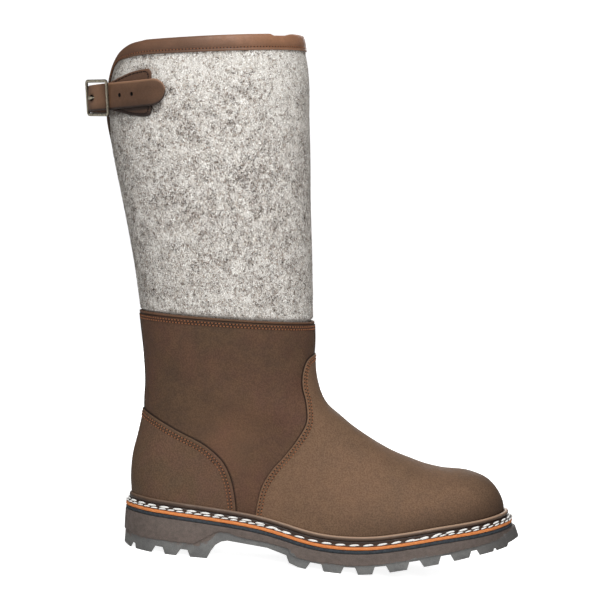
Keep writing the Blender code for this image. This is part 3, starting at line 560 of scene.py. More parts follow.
def rgb(red, green, blue):  # from the 0 to 255 values of a screen
    return tuple(((c / 255 + 0.055) / 1.055) ** 2.4 if c > 10 else c / 255 / 12.92 for c in (red, green, blue)) + (1.0,)


def newMaterial(name, shine, **plain):
    material = bpy.data.materials.new(name)
    material.use_nodes = True
    shader = material.node_tree.nodes["Principled BSDF"]
    for key, value in {"Specular IOR Level": shine, **plain}.items():
        shader.inputs[key].default_value = value
    return material, material.node_tree, shader


def finished(material, shader, colour, roughness=None, height=None, bump=(0.0, 0.0)):
    tree = material.node_tree
    feed(tree, shader.inputs["Base Color"], colour)
    if roughness is not None:
        feed(tree, shader.inputs["Roughness"], roughness)
    if height is not None:
        made = put(tree, "ShaderNodeBump", {"Height": height, "Distance": bump[0], "Strength": bump[1]})
        feed(tree, shader.inputs["Normal"], made.outputs["Normal"])
    return material


# edge: the colour of cut edges and of painted highlights; seam: the colour of painted shade
nubuckTones = {
    "body": rgb(90, 63, 50), "dark": rgb(79, 60, 46), "light": rgb(107, 83, 62), "edge": rgb(136, 100, 76),
    "seam": rgb(30, 20, 15), "patches": 1.0, "clouds": 0.32, "nap": (0.82, 1.16), "roughness": (0.7, 0.86),
    "patchSize": 0.045, "grain": (0.0011, 0.0016), "bump": (0.0004, 0.5), "shine": 0.22,
}
oiledTones = {
    "body": rgb(154, 111, 84), "dark": rgb(124, 88, 65), "light": rgb(154, 111, 84), "edge": rgb(178, 134, 103),
    "seam": rgb(34, 22, 16), "patches": 0.55, "clouds": 0.0, "nap": (0.88, 1.1), "roughness": (0.42, 0.62),
    "patchSize": 0.02, "grain": (0.0007, 0.0013), "bump": (0.0003, 0.4), "shine": 0.4,
}


def leather(name, tones):
    material, tree, shader = newMaterial(name, tones["shine"])
    mottle, grain = mottled(tree, tones["patchSize"]), grained(tree, *tones["grain"])
    colour = mixColour(tree, maths(tree, "MULTIPLY", mottle["Patches"], tones["patches"]), tones["body"], tones["dark"])
    colour = mixColour(tree, maths(tree, "MULTIPLY", mottle["Clouds"], tones["clouds"]), colour, tones["light"])
    colour = tinted(tree, colour, ramp(tree, grain["Speckle"], 0.0, 1.0, *tones["nap"]))
    colour = grouped(tree, edgeShadeGroup, {
        "Colour": colour, "Edge": attribute(tree, "cutEdgeAndHighlight"), "Edge Colour": tones["edge"],
        "Seam": attribute(tree, "paintedShade"), "Seam Colour": tones["seam"],
    })["Colour"]
    roughness = ramp(tree, mottle["Clouds"], 0.0, 1.0, *tones["roughness"])
    return finished(material, shader, colour, roughness, grain["Height"], tones["bump"])


feltTones = {
    "pale": rgb(226, 222, 216), "mid": rgb(176, 169, 161), "dark": rgb(96, 86, 79),
    "fleckSize": 0.0016, "clumpSize": 0.009, "stretch": (1.0, 1.0, 0.55), "slant": (0.0, 0.5, 0.3),
    "fleckDark": 0.8, "clumpDark": 0.5, "bump": (0.0009, 0.8),
}


def woolFelt(name, tones):
    material, tree, shader = newMaterial(name, 0.1, Roughness=0.95)
    spot = mapped(tree, Scale=tones["stretch"], Rotation=tones["slant"])
    flecks = noise(tree, spot, 1 / tones["fleckSize"], 3.0, 0.7, 1.2)
    clumps = mottled(tree, tones["clumpSize"])["Patches"]
    colour = mixColour(tree, ramp(tree, flecks, 0.38, 0.62), tones["mid"], tones["pale"])
    dark = maths(tree, "MULTIPLY", ramp(tree, flecks, 0.46, 0.34), ramp(tree, clumps, 0.0, 1.0, 0.35, 1.0))
    for mask, strength in ((dark, tones["fleckDark"]), (attribute(tree, "clumpsAndShade"), tones["clumpDark"])):
        colour = mixColour(tree, maths(tree, "MULTIPLY", mask, strength), colour, tones["dark"])
    return finished(material, shader, colour, None, flecks, tones["bump"])


def woolFibre(name):
    material, tree, shader = newMaterial(name, 0.1, Roughness=0.9)
    shade = ramp(tree, noise(tree, objectSpot(tree), 900.0), 0.3, 0.7, 0.85, 1.1)
    return finished(material, shader, tinted(tree, attribute(tree, "wool", "Color"), shade))


threadTones = {
    "shine": 0.3, "slant": (0.4, 0.7, 0.6), "twist": 420.0, "waver": 1.5, "dark": 0.6, "hole": rgb(22, 14, 10),
    "rougher": 0.15, "bump": (0.0002, 0.6),
}


def thread(name, light, dark, roughness):
    tones = threadTones
    material, tree, shader = newMaterial(name, tones["shine"])
    wave = {"Vector": mapped(tree, Rotation=tones["slant"]), "Scale": tones["twist"], "Distortion": tones["waver"]}
    twist = put(tree, "ShaderNodeTexWave", wave).outputs["Fac"]
    colour = mixColour(tree, maths(tree, "MULTIPLY", twist, tones["dark"]), light, dark)
    # dark pinholes: painted shade of the needle holes
    colour = mixColour(tree, attribute(tree, "hole"), colour, tones["hole"])
    rough = ramp(tree, twist, 0.0, 1.0, roughness, roughness + tones["rougher"])
    return finished(material, shader, colour, rough, twist, tones["bump"])


# toe: the dark colour of the rubber's painted shade
rubberTones = {
    "band": rgb(113, 100, 93), "bandDark": rgb(101, 91, 85), "lug": rgb(122, 122, 120), "lugDark": rgb(104, 104, 103),
    "toe": rgb(54, 47, 44), "patchSize": 0.016, "grain": (0.0007, 0.0015), "ragged": 0.35, "nap": (0.88, 1.1),
    "roughness": (0.62, 0.8), "bump": (0.0003, 0.5),
}


def soleRubber(name, tones):
    material, tree, shader = newMaterial(name, 0.35)
    mottle, grain = mottled(tree, tones["patchSize"]), grained(tree, *tones["grain"])
    band = mixColour(tree, mottle["Clouds"], tones["band"], tones["bandDark"])
    lug = mixColour(tree, mottle["Patches"], tones["lug"], tones["lugDark"])
    ragged = maths(tree, "MULTIPLY", maths(tree, "SUBTRACT", mottle["Clouds"], 0.5), tones["ragged"])
    low = maths(tree, "ADD", attribute(tree, "lugZone"), ragged)
    colour = mixColour(tree, ramp(tree, low, 0.35, 0.65), band, lug)
    colour = mixColour(tree, attribute(tree, "paintedToeShade"), colour, tones["toe"])
    colour = tinted(tree, colour, ramp(tree, grain["Speckle"], 0.0, 1.0, *tones["nap"]))
    roughness = ramp(tree, mottle["Clouds"], 0.0, 1.0, *tones["roughness"])
    return finished(material, shader, colour, roughness, grain["Height"], tones["bump"])


def plainRubber(name, light, dark):
    material, tree, shader = newMaterial(name, 0.3)
    mottle, grain = mottled(tree, 0.008), grained(tree, 0.0006, 0.0012)
    roughness = ramp(tree, mottle["Patches"], 0.0, 1.0, 0.7, 0.85)
    colour = mixColour(tree, mottle["Clouds"], light, dark)
    return finished(material, shader, colour, roughness, grain["Height"], (0.0003, 0.5))


def rawEdge(name, light, dark, rim):  # cut side of the leather layer, in fine lines along it
    material, tree, shader = newMaterial(name, 0.3)
    fibres = noise(tree, mapped(tree, Scale=(0.25, 0.25, 2.2)), 900.0, 3.0, 0.7)
    clouds = mottled(tree, 0.01)["Clouds"]
    colour = mixColour(tree, ramp(tree, fibres, 0.3, 0.7), light, dark)
    colour = mixColour(tree, maths(tree, "MULTIPLY", clouds, 0.3), colour, dark)
    colour = mixColour(tree, attribute(tree, "rim"), colour, rim)
    return finished(material, shader, colour, ramp(tree, fibres, 0.3, 0.7, 0.55, 0.75), fibres, (0.0004, 0.6))


def agedBrass(name, bright, dark):
    material, tree, shader = newMaterial(name, 0.5, Metallic=0.65)
    mottle, grain = mottled(tree, 0.004), grained(tree, 0.0005, 0.001)
    # painted highlight where the bar faces out, varied in patches, over the dark aged colour
    paintedHighlight = maths(tree, "MULTIPLY", attribute(tree, "paintedHighlight"), ramp(tree, mottle["Clouds"], 0.0, 1.0, 1.0, 0.55))
    roughness = ramp(tree, mottle["Patches"], 0.0, 1.0, 0.24, 0.42)
    return finished(material, shader, mixColour(tree, paintedHighlight, dark, bright), roughness, grain["Height"], (0.0001, 0.4))


def lining(name, light, dark):
    material, tree, shader = newMaterial(name, 0.5, **{"Roughness": 0.92, "Sheen Weight": 0.2})
    weave = noise(tree, objectSpot(tree), 1400.0, 2.0, 0.6)
    patches = mottled(tree, 0.012)["Patches"]
    colour = mixColour(tree, ramp(tree, weave, 0.35, 0.65), light, dark)
    colour = mixColour(tree, maths(tree, "MULTIPLY", patches, 0.4), colour, dark)
    return finished(material, shader, colour, None, weave, (0.0005, 0.6))


quarterNubuck = leather("quarter_nubuck", nubuckTones)
vampNubuck = leather("vamp_nubuck", {
    **nubuckTones, "body": rgb(116, 89, 69), "dark": rgb(109, 85, 66), "light": rgb(133, 105, 82),
})
counterNubuck = leather("counter_nubuck", {**nubuckTones, "body": rgb(102, 74, 60), "dark": rgb(89, 71, 54)})
bindingLeather = leather("binding_leather", oiledTones)
strapLeather, patchLeather, weltLeather = (
    leather(f"{name}_leather", {**oiledTones, "body": rgb(*body), "dark": rgb(*dark), "edge": rgb(*edge)})
    for name, body, dark, edge in (
        ("strap", (89, 62, 43), (72, 49, 34), (160, 122, 96)),
        ("patch", (92, 64, 46), (70, 50, 39), (124, 92, 72)),
        ("welt", (70, 51, 39), (50, 36, 28), (176, 146, 122)),
    )
)
shaftFelt = woolFelt("wool_felt", feltTones)
feltFibre = woolFibre("wool_fibre")
brownThread = thread("brown_thread", rgb(160, 103, 68), rgb(112, 69, 45), 0.6)
darkThread = thread("dark_thread", rgb(36, 19, 13), rgb(24, 13, 10), 0.7)
whiteThread = thread("white_thread", rgb(253, 252, 249), rgb(236, 232, 225), 0.7)
treadRubber = soleRubber("tread_rubber", rubberTones)
blueRubber = plainRubber("layer_rubber", rgb(62, 68, 74), rgb(44, 49, 54))
tanEdge = rawEdge("tan_edge", rgb(244, 158, 92), rgb(206, 116, 58), rgb(150, 82, 52))
brass = agedBrass("aged_brass", (0.95, 0.86, 0.66, 1.0), (0.07, 0.054, 0.038, 1.0))
holeShade = plainRubber("hole_shade", rgb(18, 12, 10), rgb(11, 8, 7))
shoeLining = lining("shoe_lining", rgb(176, 166, 152), rgb(140, 130, 116))
insoleBoard = lining("insole_board", rgb(168, 138, 104), rgb(134, 106, 78))
print("finishes made:", len(bpy.data.materials))


# Stitches, as one joined mesh for each run of seams
threadShape = {
    "reach": np.linspace(-0.5, 0.5, 7), "fat": np.array([0.35, 0.8, 0.97, 1.0, 0.97, 0.8, 0.35]),
    "turn": np.arange(8) * math.pi / 4, "holeLevels": ((0.8, -0.25), (1.0, 0.02), (0.6, 0.12)),
    "holeEnds": (-0.25, 0.14), "holeLong": 1.1, "wayProbe": 0.3,
}


def stitchRow(points, normals, look):
    along, reach = lengths(points), threadShape["reach"]
    count = int(along[-1] / look["pitch"])
    at = ((np.arange(count) + 0.5) * along[-1] / count)[:, None] + reach * look["length"]
    spot, up = pointsAt(at, along, points), unit(pointsAt(at, along, normals))
    way = unit(spot[:, -1] - spot[:, 0])[:, None]
    side = unit(np.cross(up, way))
    arch = np.cos(reach * math.pi) ** 0.5
    spot = spot + side * (reach * 2 * look["slant"])[:, None]
    spot = spot + up * (look["sink"] + look["rise"] * arch)[:, None]
    fat = threadShape["fat"][:, None, None] * look["radius"]
    across, through = np.cos(threadShape["turn"])[:, None], np.sin(threadShape["turn"])[:, None]
    return spot[:, :, None] + fat * (side[:, :, None] * across + up[:, :, None] * through)


def holeSpots(points, normals, look):
    along = lengths(points)
    count = int(along[-1] / look["pitch"])
    ends = np.arange(count + 1) * along[-1] / count
    step = threadShape["wayProbe"]
    way = unit(pointsAt(ends + step, along, points) - pointsAt(ends - step, along, points))
    return zip(pointsAt(ends, along, points), unit(pointsAt(ends, along, normals)), way)


# a small dark disc at each needle hole: painted shade standing in for the hole
def pinhole(middle, up, way, radius):
    shape, turn = threadShape, threadShape["turn"][:, None]
    circle = np.cos(turn) * way * shape["holeLong"] + np.sin(turn) * np.cross(up, way)
    levels = [middle + circle * radius * size + up * height for size, height in shape["holeLevels"]]
    points = np.concatenate(levels + [[middle + up * height] for height in shape["holeEnds"]])
    count, crest = len(turn), 2 * len(turn)
    faces = gridFaces(3, count, closeCols=True).tolist()
    for k in range(count):
        faces.append([3 * count, (k + 1) % count, k])
        faces.append([3 * count + 1, crest + k, crest + (k + 1) % count])
    return points, faces


def addStitches(name, rows, look, material, slot):
    stitchFaces = tubeFaces(len(threadShape["reach"]), len(threadShape["turn"]))
    blocks = []
    for line, normals in rows:
        blocks += [(stitch.reshape(-1, 3), stitchFaces, 0.0) for stitch in stitchRow(line, normals, look)]
        if look["hole"] > 0:
            blocks += [(*pinhole(*spot, look["hole"]), 1.0) for spot in holeSpots(line, normals, look)]
    points, faces, holes = zip(*blocks)
    starts = np.cumsum([0] + [len(block) for block in points]).tolist()
    faces = [[start + k for k in face] for start, block in zip(starts, faces) for face in block]
    holeMask = np.concatenate([np.full(len(block), hole) for block, hole in zip(points, holes)])
    piece = addMesh(name, np.concatenate(points), faces, [material], {"hole": holeMask})
    pointOut(piece)
    return keep(piece, slot)


# Sole layers
treadLook = {
    "stations": 170, "topRound": 0.6, "layerBite": 0.3, "lugStep": 0.9, "stepRise": 0.7, "toeFlare": 3.7,
    "toeFlareStart": 262.0, "heelTaper": 1.0, "heelTaperEnd": 30.0, "bandSpread": 0.65, "midSpread": 0.35,
    "across": 90.0, "reach": 3.0, "channelSteps": 24, "edgeRound": 0.45, "bevelAngle": 38.0, "sharpAngle": 30.0,
    # painted shade: darker toward the toe tip and the heel's back, which turn from the light, and along the band's top
    # under the welt
    "paintedToeShade": 0.6, "toeReach": (235.0, 306.0), "paintedHeelShade": 0.26, "heelReach": (-5.0, 75.0),
    "paintedTopShade": 0.24, "topReach": (2.0, 14.0), "zoneSoft": 0.6,
    "lugZone": table(  # how high the lugs' facets reach above the tread
        "x height",
        (-1.5, 10.2), (57.0, 10.2), (68.5, 18.0), (71.0, 13.5), (73.5, 10.0), (77.5, 7.5), (82.0, 5.8), (92.0, 4.0),
        (114.5, 3.6), (130.0, 5.0), (140.0, 6.6), (302.3, 6.6),
    ),
}


def lugHeight(x):
    return np.interp(x, treadLook["lugZone"]["x"], treadLook["lugZone"]["height"])


def wedge(place):
    x = np.array(place["x"])
    tread, tilt = treadDepth(x), seatTilt(x)
    slant = (place["mouth"] - place["root"]) / place["depth"]
    half = place["root"] / 2
    mouth = half + slant * (place["depth"] + treadLook["reach"]) / 2
    forward = np.array([math.cos(tilt), 0.0, math.sin(tilt)])
    high = solePoint(x, 0 * x, tread - place["depth"])
    low = solePoint(x, 0 * x, tread + treadLook["reach"])
    section = np.array([high - half * forward, high + half * forward, low + mouth * forward, low - mouth * forward])
    across = np.array([0.0, treadLook["across"], 0.0])
    return np.concatenate([section - across, section + across])


def channel(place, side):
    x = np.linspace(place["start"], place["end"], treadLook["channelSteps"])
    tread, half = treadDepth(x), place["width"] / 2
    top, low = -place["depth"], treadLook["reach"]
    loops = []
    for inset, depth in ((-half, top), (half, top), (half, low), (-half, low)):
        lineX, lineY = outline(x, place["inset"] + inset)[side]
        loops.append(solePoint(lineX, lineY, tread + depth))
    return np.array(loops).transpose(1, 0, 2).reshape(-1, 3)


def cutterMesh(name, points, rows, collection):
    cutter = addMesh(name, points, tubeFaces(rows, 4), [])
    pointOut(cutter)
    bpy.context.scene.collection.objects.unlink(cutter)
    collection.objects.link(cutter)


def tableRows(columns):
    return [dict(zip(columns, row)) for row in zip(*columns.values())]


def layerFaces(levels, count):
    faces = gridFaces(levels, count, closeCols=True).tolist()
    for first in (0, (levels - 1) * count):
        for i in range(count // 2 - 1):
            far = count - 1 - i
            faces.append([first + i, first + i + 1, first + far - 1, first + far])
    return faces


def makeOutsole():
    look = treadLook
    breaks = [soleShape["underside"]["x"][1:], soleShape["forefoot"]["x"][-3:-1]]
    x = np.unique(np.concatenate([soleStations(look["stations"]), *breaks]))
    tread, zone = treadDepth(x), lugHeight(x)
    spread = look["heelTaper"] * (1 - ease(heelX, look["heelTaperEnd"], x))
    spread = spread - look["toeFlare"] * ease(look["toeFlareStart"], toeX, x)
    step = look["lugStep"] * (1 - ease(look["toeFlareStart"], toeX, x))
    curve, band = look["topRound"], look["bandSpread"]
    top = soleShape["rubberLayer"] + look["layerBite"]
    foot = tread - zone - look["stepRise"]
    levels = [
        soleLoop(x, curve, top),
        soleLoop(x, curve * 0.3, top + curve * 0.3),
        soleLoop(x, 0.0, top + curve),
        soleLoop(x, spread * band * look["midSpread"], (top + foot) / 2),
        soleLoop(x, spread * band, foot),
        soleLoop(x, spread * band + step, tread - zone),
        soleLoop(x, spread * (1 + band) / 2 + step, tread - zone / 2),
        soleLoop(x, spread + step, tread),
    ]
    outsole = addMesh("outsole_tread", np.array(levels), layerFaces(len(levels), 2 * len(x)), [treadRubber])
    pointOut(outsole)
    cutters = bpy.data.collections.new("tread_cutters")
    bpy.context.scene.collection.children.link(cutters)
    for number, place in enumerate(tableRows(soleShape["grooves"])):
        cutterMesh(f"groove_{number}", wedge(place), 2, cutters)
    for number, place in enumerate(tableRows(soleShape["channels"])):
        for side in (0, 1):
            cutterMesh(f"channel_{number}_{side}", channel(place, side), look["channelSteps"], cutters)
    cut = outsole.modifiers.new("tread", "BOOLEAN")
    cut.operand_type = "COLLECTION"
    cut.collection = cutters
    cut.solver = "EXACT"
    soften = outsole.modifiers.new("soften", "BEVEL")
    soften.width = look["edgeRound"] * mm
    soften.segments = 2
    soften.limit_method = "ANGLE"
    soften.angle_limit = math.radians(look["bevelAngle"])
    settle(outsole)
    for cutter in list(cutters.objects):
        bpy.data.objects.remove(cutter)
    bpy.data.collections.remove(cutters)
    mesh = outsole.data
    mesh.shade_smooth()
    mesh.set_sharp_from_angle(angle=math.radians(look["sharpAngle"]))
    spots = np.zeros(len(mesh.vertices) * 3)
    mesh.vertices.foreach_get("co", spots)
    spots = spots.reshape(-1, 3) / mm - standAt
    at = spots[:, 0]
    below = (seat(at) - spots[:, 2]) / np.cos(seatTilt(at))
    setMask(mesh, "lugZone", ease(-look["zoneSoft"], look["zoneSoft"], below - (treadDepth(at) - lugHeight(at))))
    dark = look["paintedToeShade"] * ease(*look["toeReach"], at) + look["paintedHeelShade"] * (1 - ease(*look["heelReach"], at))
    setMask(mesh, "paintedToeShade", np.maximum(dark, look["paintedTopShade"] * (1 - ease(*look["topReach"], below))))
    return keep(outsole, "outsole", "outsole")


layerLook = {
    "stations": 150, "round": 0.45, "rim": (1.0, 1.0, 0.8, 0.15, 0.0, 0.1, 0.4, 0.6), "sharpAngle": 50.0,
    "apart": 0.15, "bulge": 0.12,
}


def makeLayer(name, node, material, inset, top, bottom, bulge=0.0):
    x = soleStations(layerLook["stations"])
    curve = layerLook["round"]
    bend = curve * 0.3
    section = (  # steps in by the rounding, out by the bulge, and depth
        (2.5, 0.0, top), (1.0, 0.0, top), (0.3, 0.0, top + bend), (0.0, 0.6, top + curve),
        (0.0, 1.0, (top + bottom) / 2), (0.0, 0.6, bottom - curve), (0.3, 0.0, bottom - bend), (1.0, 0.0, bottom),
    )
    levels = [soleLoop(x, inset + curve * stepIn - bulge * stepOut, depth) for stepIn, stepOut, depth in section]
    rim = np.repeat(layerLook["rim"], 2 * len(x))
    layer = addMesh(name, np.array(levels), layerFaces(len(levels), 2 * len(x)), [material], {"rim": rim})
    pointOut(layer)
    layer.data.set_sharp_from_angle(angle=math.radians(layerLook["sharpAngle"]))
    return keep(layer, node, node)


weltLook = {
    "stations": 190, "heelLean": 0.8, "heelLeanEnd": (20.0, 70.0),
    # edge: mostly a painted highlight along the bead's top, in the cut-edge colour
    "section": table(
        "inset z edge",
        (0.5, 3.1, 0.0), (0.25, 3.2, 0.0), (0.2, 3.4, 0.1), (0.4, 3.75, 0.1), (0.9, 4.2, 0.0), (1.5, 4.7, 0.0),
        (2.1, 5.15, 0.0), (2.65, 5.6, 0.0), (3.0, 6.0, 0.0), (3.1, 6.35, 0.0), (2.95, 6.65, 0.0), (2.65, 7.0, 0.05),
        (2.45, 7.6, 0.1), (2.4, 8.3, 0.15), (2.5, 8.9, 0.3), (2.75, 9.5, 0.8), (3.2, 9.95, 1.0), (3.7, 10.15, 0.9),
        (4.25, 10.05, 0.4), (4.75, 9.6, 0.1), (5.1, 8.6, 0.0), (5.2, 7.2, 0.0), (5.2, 3.2, 0.0),
    ),
    "outsideTo": 3.4, "wallShade": (0.9, 6.2, 0.75), "bodyShade": (0.22, 7.8, 0.9), "shelfShade": 0.35, "shelfTop": 6.0,
    "paintedHeelHighlight": 0.3, "paintedHighlightEnd": (60.0, 150.0),
}


def weltLoop(x, inset, z):
    section = weltLook["section"]["inset"]
    spare = featherInset(x) - soleShape["feather"]["inset"][0]
    spare = spare - weltLook["heelLean"] * (1 - ease(*weltLook["heelLeanEnd"], x))
    share = (inset - section.min()) / (section.max() - section.min())
    return soleLoop(x, inset + spare * share, -z)


def makeWelt():
    look, section = weltLook, weltLook["section"]
    x = soleStations(look["stations"])
    loops = np.array([weltLoop(x, inset, z) for inset, z in zip(section["inset"], section["z"])])
    faces = gridFaces(len(loops), 2 * len(x), closeRows=True, closeCols=True)
    # painted highlight on the bead's top, dimmer toward the heel; painted shade on the wall under the bead, the bead's
    # lower body and the shelf
    lit = look["paintedHeelHighlight"] + (1 - look["paintedHeelHighlight"]) * ease(*look["paintedHighlightEnd"], x)
    edge = section["edge"][:, None] * np.concatenate([lit, lit[::-1]])[None]
    shade = look["shelfShade"] * (section["z"] < look["shelfTop"])
    for strength, height, reach in (look["wallShade"], look["bodyShade"]):
        shade = np.maximum(shade, strength * bell(section["z"] - height, reach))
    shade = np.repeat(shade * (section["inset"] < look["outsideTo"]), 2 * len(x))
    welt = addMesh("welt_strip", loops, faces, [weltLeather], {"cutEdgeAndHighlight": edge, "paintedShade": shade})
    pointOut(welt)
    return keep(welt, "welt", "welt")


weltThread = {"stations": 400, "rise": 0.4, "sink": 0.05, "slant": 0.3, "hole": 0.0}
weltRows = {
    "low": {"inset": 0.3, "z": 3.6, "pitch": 7.0, "length": 5.5, "radius": 0.58},
    "high": {"inset": 1.8, "z": 4.95, "pitch": 10.7, "length": 7.6, "radius": 0.8},
}
singleRow = {"from": (95.0, 130.0), "to": (222.0, 256.0), "inset": 0.5, "z": 3.85}  # where only one row shows


def makeWeltStitches():
    x = soleStations(weltThread["stations"])
    middle = ease(*singleRow["from"], x) * (1 - ease(*singleRow["to"], x))
    heel, toe = (x < singleRow["from"][1]).sum(), (x > singleRow["to"][0]).sum()
    runs = {
        "low": [np.arange(-heel, heel), np.arange(len(x) - toe, len(x) + toe)],
        "high": [np.arange(2 * len(x) + 1) % (2 * len(x))],
    }
    for name, row in weltRows.items():
        share = middle * (name == "high")
        inset, z = (row[key] + (singleRow[key] - row[key]) * share for key in ("inset", "z"))
        loop = weltLoop(x, inset, z)
        out = unit(weltLoop(x, inset - 1.0, z + 1.0) - loop)
        lines = [(loop[run], out[run]) for run in runs[name]]
        addStitches(f"welt_stitches_{name}", lines, {**weltThread, **row}, whiteThread, "welt")


# Leather foot
quarterLook = {
    "columns": 168, "nearSeam": np.array([0.35, 0.7, 1.05, 1.4, 1.8, 2.3, 3.0]) / 60.0, "rows": 104, "innerRows": 16,
    "drops": np.concatenate([np.linspace(12.0, 4.0, 8)[:-1], np.arange(4.0, -0.01, -0.25)]),  # rows below the top edge
    "topSpan": 0.9, "topSamples": 60, "wall": 2.2, "foldDepth": 1.7, "foldFrom": 0.6, "foldRoll": 0.3,
    "grooveDepth": 0.5, "grooveWidth": 0.42, "rims": ((0.12, 0.2), (0.35, 0.32), (0.65, 0.32), (0.9, 0.15)),
    "rimRoll": 0.7, "normalMargin": (0.05, 0.1),
    "backHalf": 8.0, "backSeamFrom": 108.0, "frontSeamFrom": 162.0, "seamEase": (-4.0, 2.0), "seamStart": (0.8, 2.6),
    "seamHalf": 1.0, "ridge": (0.8, 0.6), "dip": (0.3, 0.35),  # height or depth, and width
    "foldShade": (0.85, 0.5), "paintedShade": 0.9, "seamReach": (2.3, 1.2), "stitchShade": (0.35, 4.0, 2.2),
    "edgeWear": 0.2, "edgeReach": (0.5, 1.2), "cloud": 0.24, "cloudAt": (76.0, 92.0), "cloudSize": (26.0, 38.0),
    "paintedToeShade": 0.34, "toeReach": (246.0, 299.0), "lowShade": (0.06, 0.5), "lowReach": (8.0, 34.0),
    "lowFrom": (120.0, 250.0), "creaseFade": (-0.35, 0.2, 0.8, 1.35),
    "creases": table(  # soft troughs, and ridges where depth is below zero: line in side view, width, depth
        "x1 z1 x2 z2 width depth",
        (58.0, 150.0, 104.0, 132.0, 13.0, 0.9), (20.0, 138.0, 62.0, 122.0, 11.0, 0.7),
        (40.0, 132.0, 92.0, 116.0, 9.0, -0.5), (150.0, 119.0, 116.0, 108.0, 9.0, 0.55),
        (168.0, 108.0, 140.0, 92.0, 10.0, 0.5), (226.0, 84.0, 236.0, 58.0, 9.0, 0.5),
        (205.0, 92.0, 190.0, 62.0, 12.0, 0.45), (12.0, 66.0, 46.0, 56.0, 15.0, 0.4),
        (70.0, 172.0, 118.0, 160.0, 14.0, 0.5),
    ),
}


def creaseLift(points):
    lift = np.zeros(points.shape[:-1])
    fadeIn, fadeOut = quarterLook["creaseFade"][:2], quarterLook["creaseFade"][2:]
    for crease in tableRows(quarterLook["creases"]):
        start = np.array([crease["x1"], crease["z1"]])
        run = np.array([crease["x2"], crease["z2"]]) - start
        offset = points[..., [0, 2]] - start
        share = (offset @ run) / (run @ run)
        apart = np.linalg.norm(offset - np.clip(share, 0, 1)[..., None] * run, axis=-1)
        fade = ease(*fadeIn, share) * (1 - ease(*fadeOut, share))
        lift = lift - crease["depth"] * bell(apart, crease["width"]) * fade
    return lift


def footPoint(place, angle, lift=0.0):
    spot = upperPoint(place, angle)
    return spot + upperNormal(place, angle) * (np.asarray(lift) + creaseLift(spot))[..., None]


def quarterColumns():
    even = np.arange(quarterLook["columns"]) * 2 * math.pi / quarterLook["columns"]
    near = quarterLook["nearSeam"]
    return np.unique(np.round(np.concatenate([even, near, 2 * math.pi - near, math.pi - near, math.pi + near]), 5))


def topEdgePlaces(drops, angle):  # places that lie so far below the leather's top edge
    places = np.linspace(topPlace - quarterLook["topSpan"], topPlace, quarterLook["topSamples"])
    rim = upperPoint(topPlace + 0 * angle, angle)
    below = rim[:, 2] - np.array([upperPoint(place + 0 * angle, angle)[:, 2] for place in places])
    return np.array([[np.interp(-drop, -below[:, k], places) for k in range(len(angle))] for drop in drops])


def paintedFootShade(spot):  # painted shade: a darker toe where it turns from the light, and a darker band along the welt
    look = quarterLook
    toe = look["paintedToeShade"] * ease(*look["toeReach"], spot[..., 0])
    low = look["lowShade"][0] + look["lowShade"][1] * ease(*look["lowFrom"], spot[..., 0])
    low = low * (1 - ease(*look["lowReach"], spot[..., 2] - seat(spot[..., 0])))
    return toe + low - toe * low


def makeQuarter():
    look, depth = quarterLook, quarterLook["foldDepth"]
    angle = quarterColumns()
    low = np.linspace(0.0, 1.0, look["rows"])[:-1]
    upperRows = topEdgePlaces(look["drops"], angle)
    places = np.concatenate([low[:, None] * upperRows[:1], upperRows])
    angles = np.tile(angle, (len(places), 1))
    spot = upperPoint(places, angles)
    rim = upperPoint(topPlace + 0 * angle, angle)
    below, offset = rim[None, :, 2] - spot[..., 2], np.abs(spot[..., 1])
    fold = look["foldRoll"] * (1 - ease(depth * look["foldFrom"], depth, below))
    groove = look["grooveDepth"] * bell(below - depth, look["grooveWidth"])
    atBack = (offset < look["backHalf"]) & (np.cos(angles) > 0)
    seamFrom = np.where(atBack, look["backSeamFrom"], look["frontSeamFrom"])
    seamHere = ease(seamFrom + look["seamEase"][0], seamFrom + look["seamEase"][1], spot[..., 2])
    seamHere = seamHere * ease(*look["seamStart"], below)
    ridge = look["ridge"][0] * bell(offset - look["seamHalf"], look["ridge"][1])
    ridge = ridge - look["dip"][0] * bell(offset, look["dip"][1])
    outer = footPoint(places, angles, fold - groove + ridge * seamHere)
    # painted shade: in the groove under the top fold, along the back and front seam ridges, along the stitch rows, at
    # the toe and along the welt
    shade = look["foldShade"][0] * bell(below - depth, look["foldShade"][1])
    shade = np.clip(shade + look["paintedShade"] * seamHere * ease(*look["seamReach"], offset), 0, 1)
    strength, at, width = look["stitchShade"]
    shade = np.maximum(np.maximum(shade, strength * bell(below - at, width)), paintedFootShade(spot))
    cloud = bell(spot[..., 0] - look["cloudAt"][0], look["cloudSize"][0])
    cloud = cloud * bell(spot[..., 2] - look["cloudAt"][1], look["cloudSize"][1])
    edge = look["edgeWear"] * (1 - ease(*look["edgeReach"], below)) + look["cloud"] * cloud
    lowest, highest = look["normalMargin"][0], topPlace - look["normalMargin"][1]
    rimNormal = upperNormal(highest + 0 * angle, angle)
    rims = [rim + rimNormal * (look["foldRoll"] * look["rimRoll"] - step * look["wall"]) + np.array([0, 0, rise])
            for step, rise in look["rims"]]
    inner = []
    for place in np.linspace(topPlace, 0.0, look["innerRows"]):
        normal = upperNormal(np.clip(place, lowest, highest) + 0 * angle, angle)
        inner.append(upperPoint(place + 0 * angle, angle) - normal * look["wall"])
    grid = np.concatenate([outer, rims, inner])
    rows, cols = len(grid), len(angle)
    pad = np.zeros((rows - len(outer), cols))
    masks = {"paintedShade": np.concatenate([shade, pad]), "cutEdgeAndHighlight": np.concatenate([edge, pad + look["edgeWear"]])}
    inside = (np.arange(rows) >= len(outer) + len(rims)).repeat(cols).astype(int)
    faces = gridFaces(rows, cols, closeRows=True, closeCols=True)
    quarter = addMesh("quarter_leather", grid, faces, [quarterNubuck, shoeLining], masks, inside)
    return keep(quarter, "upper", "upper")


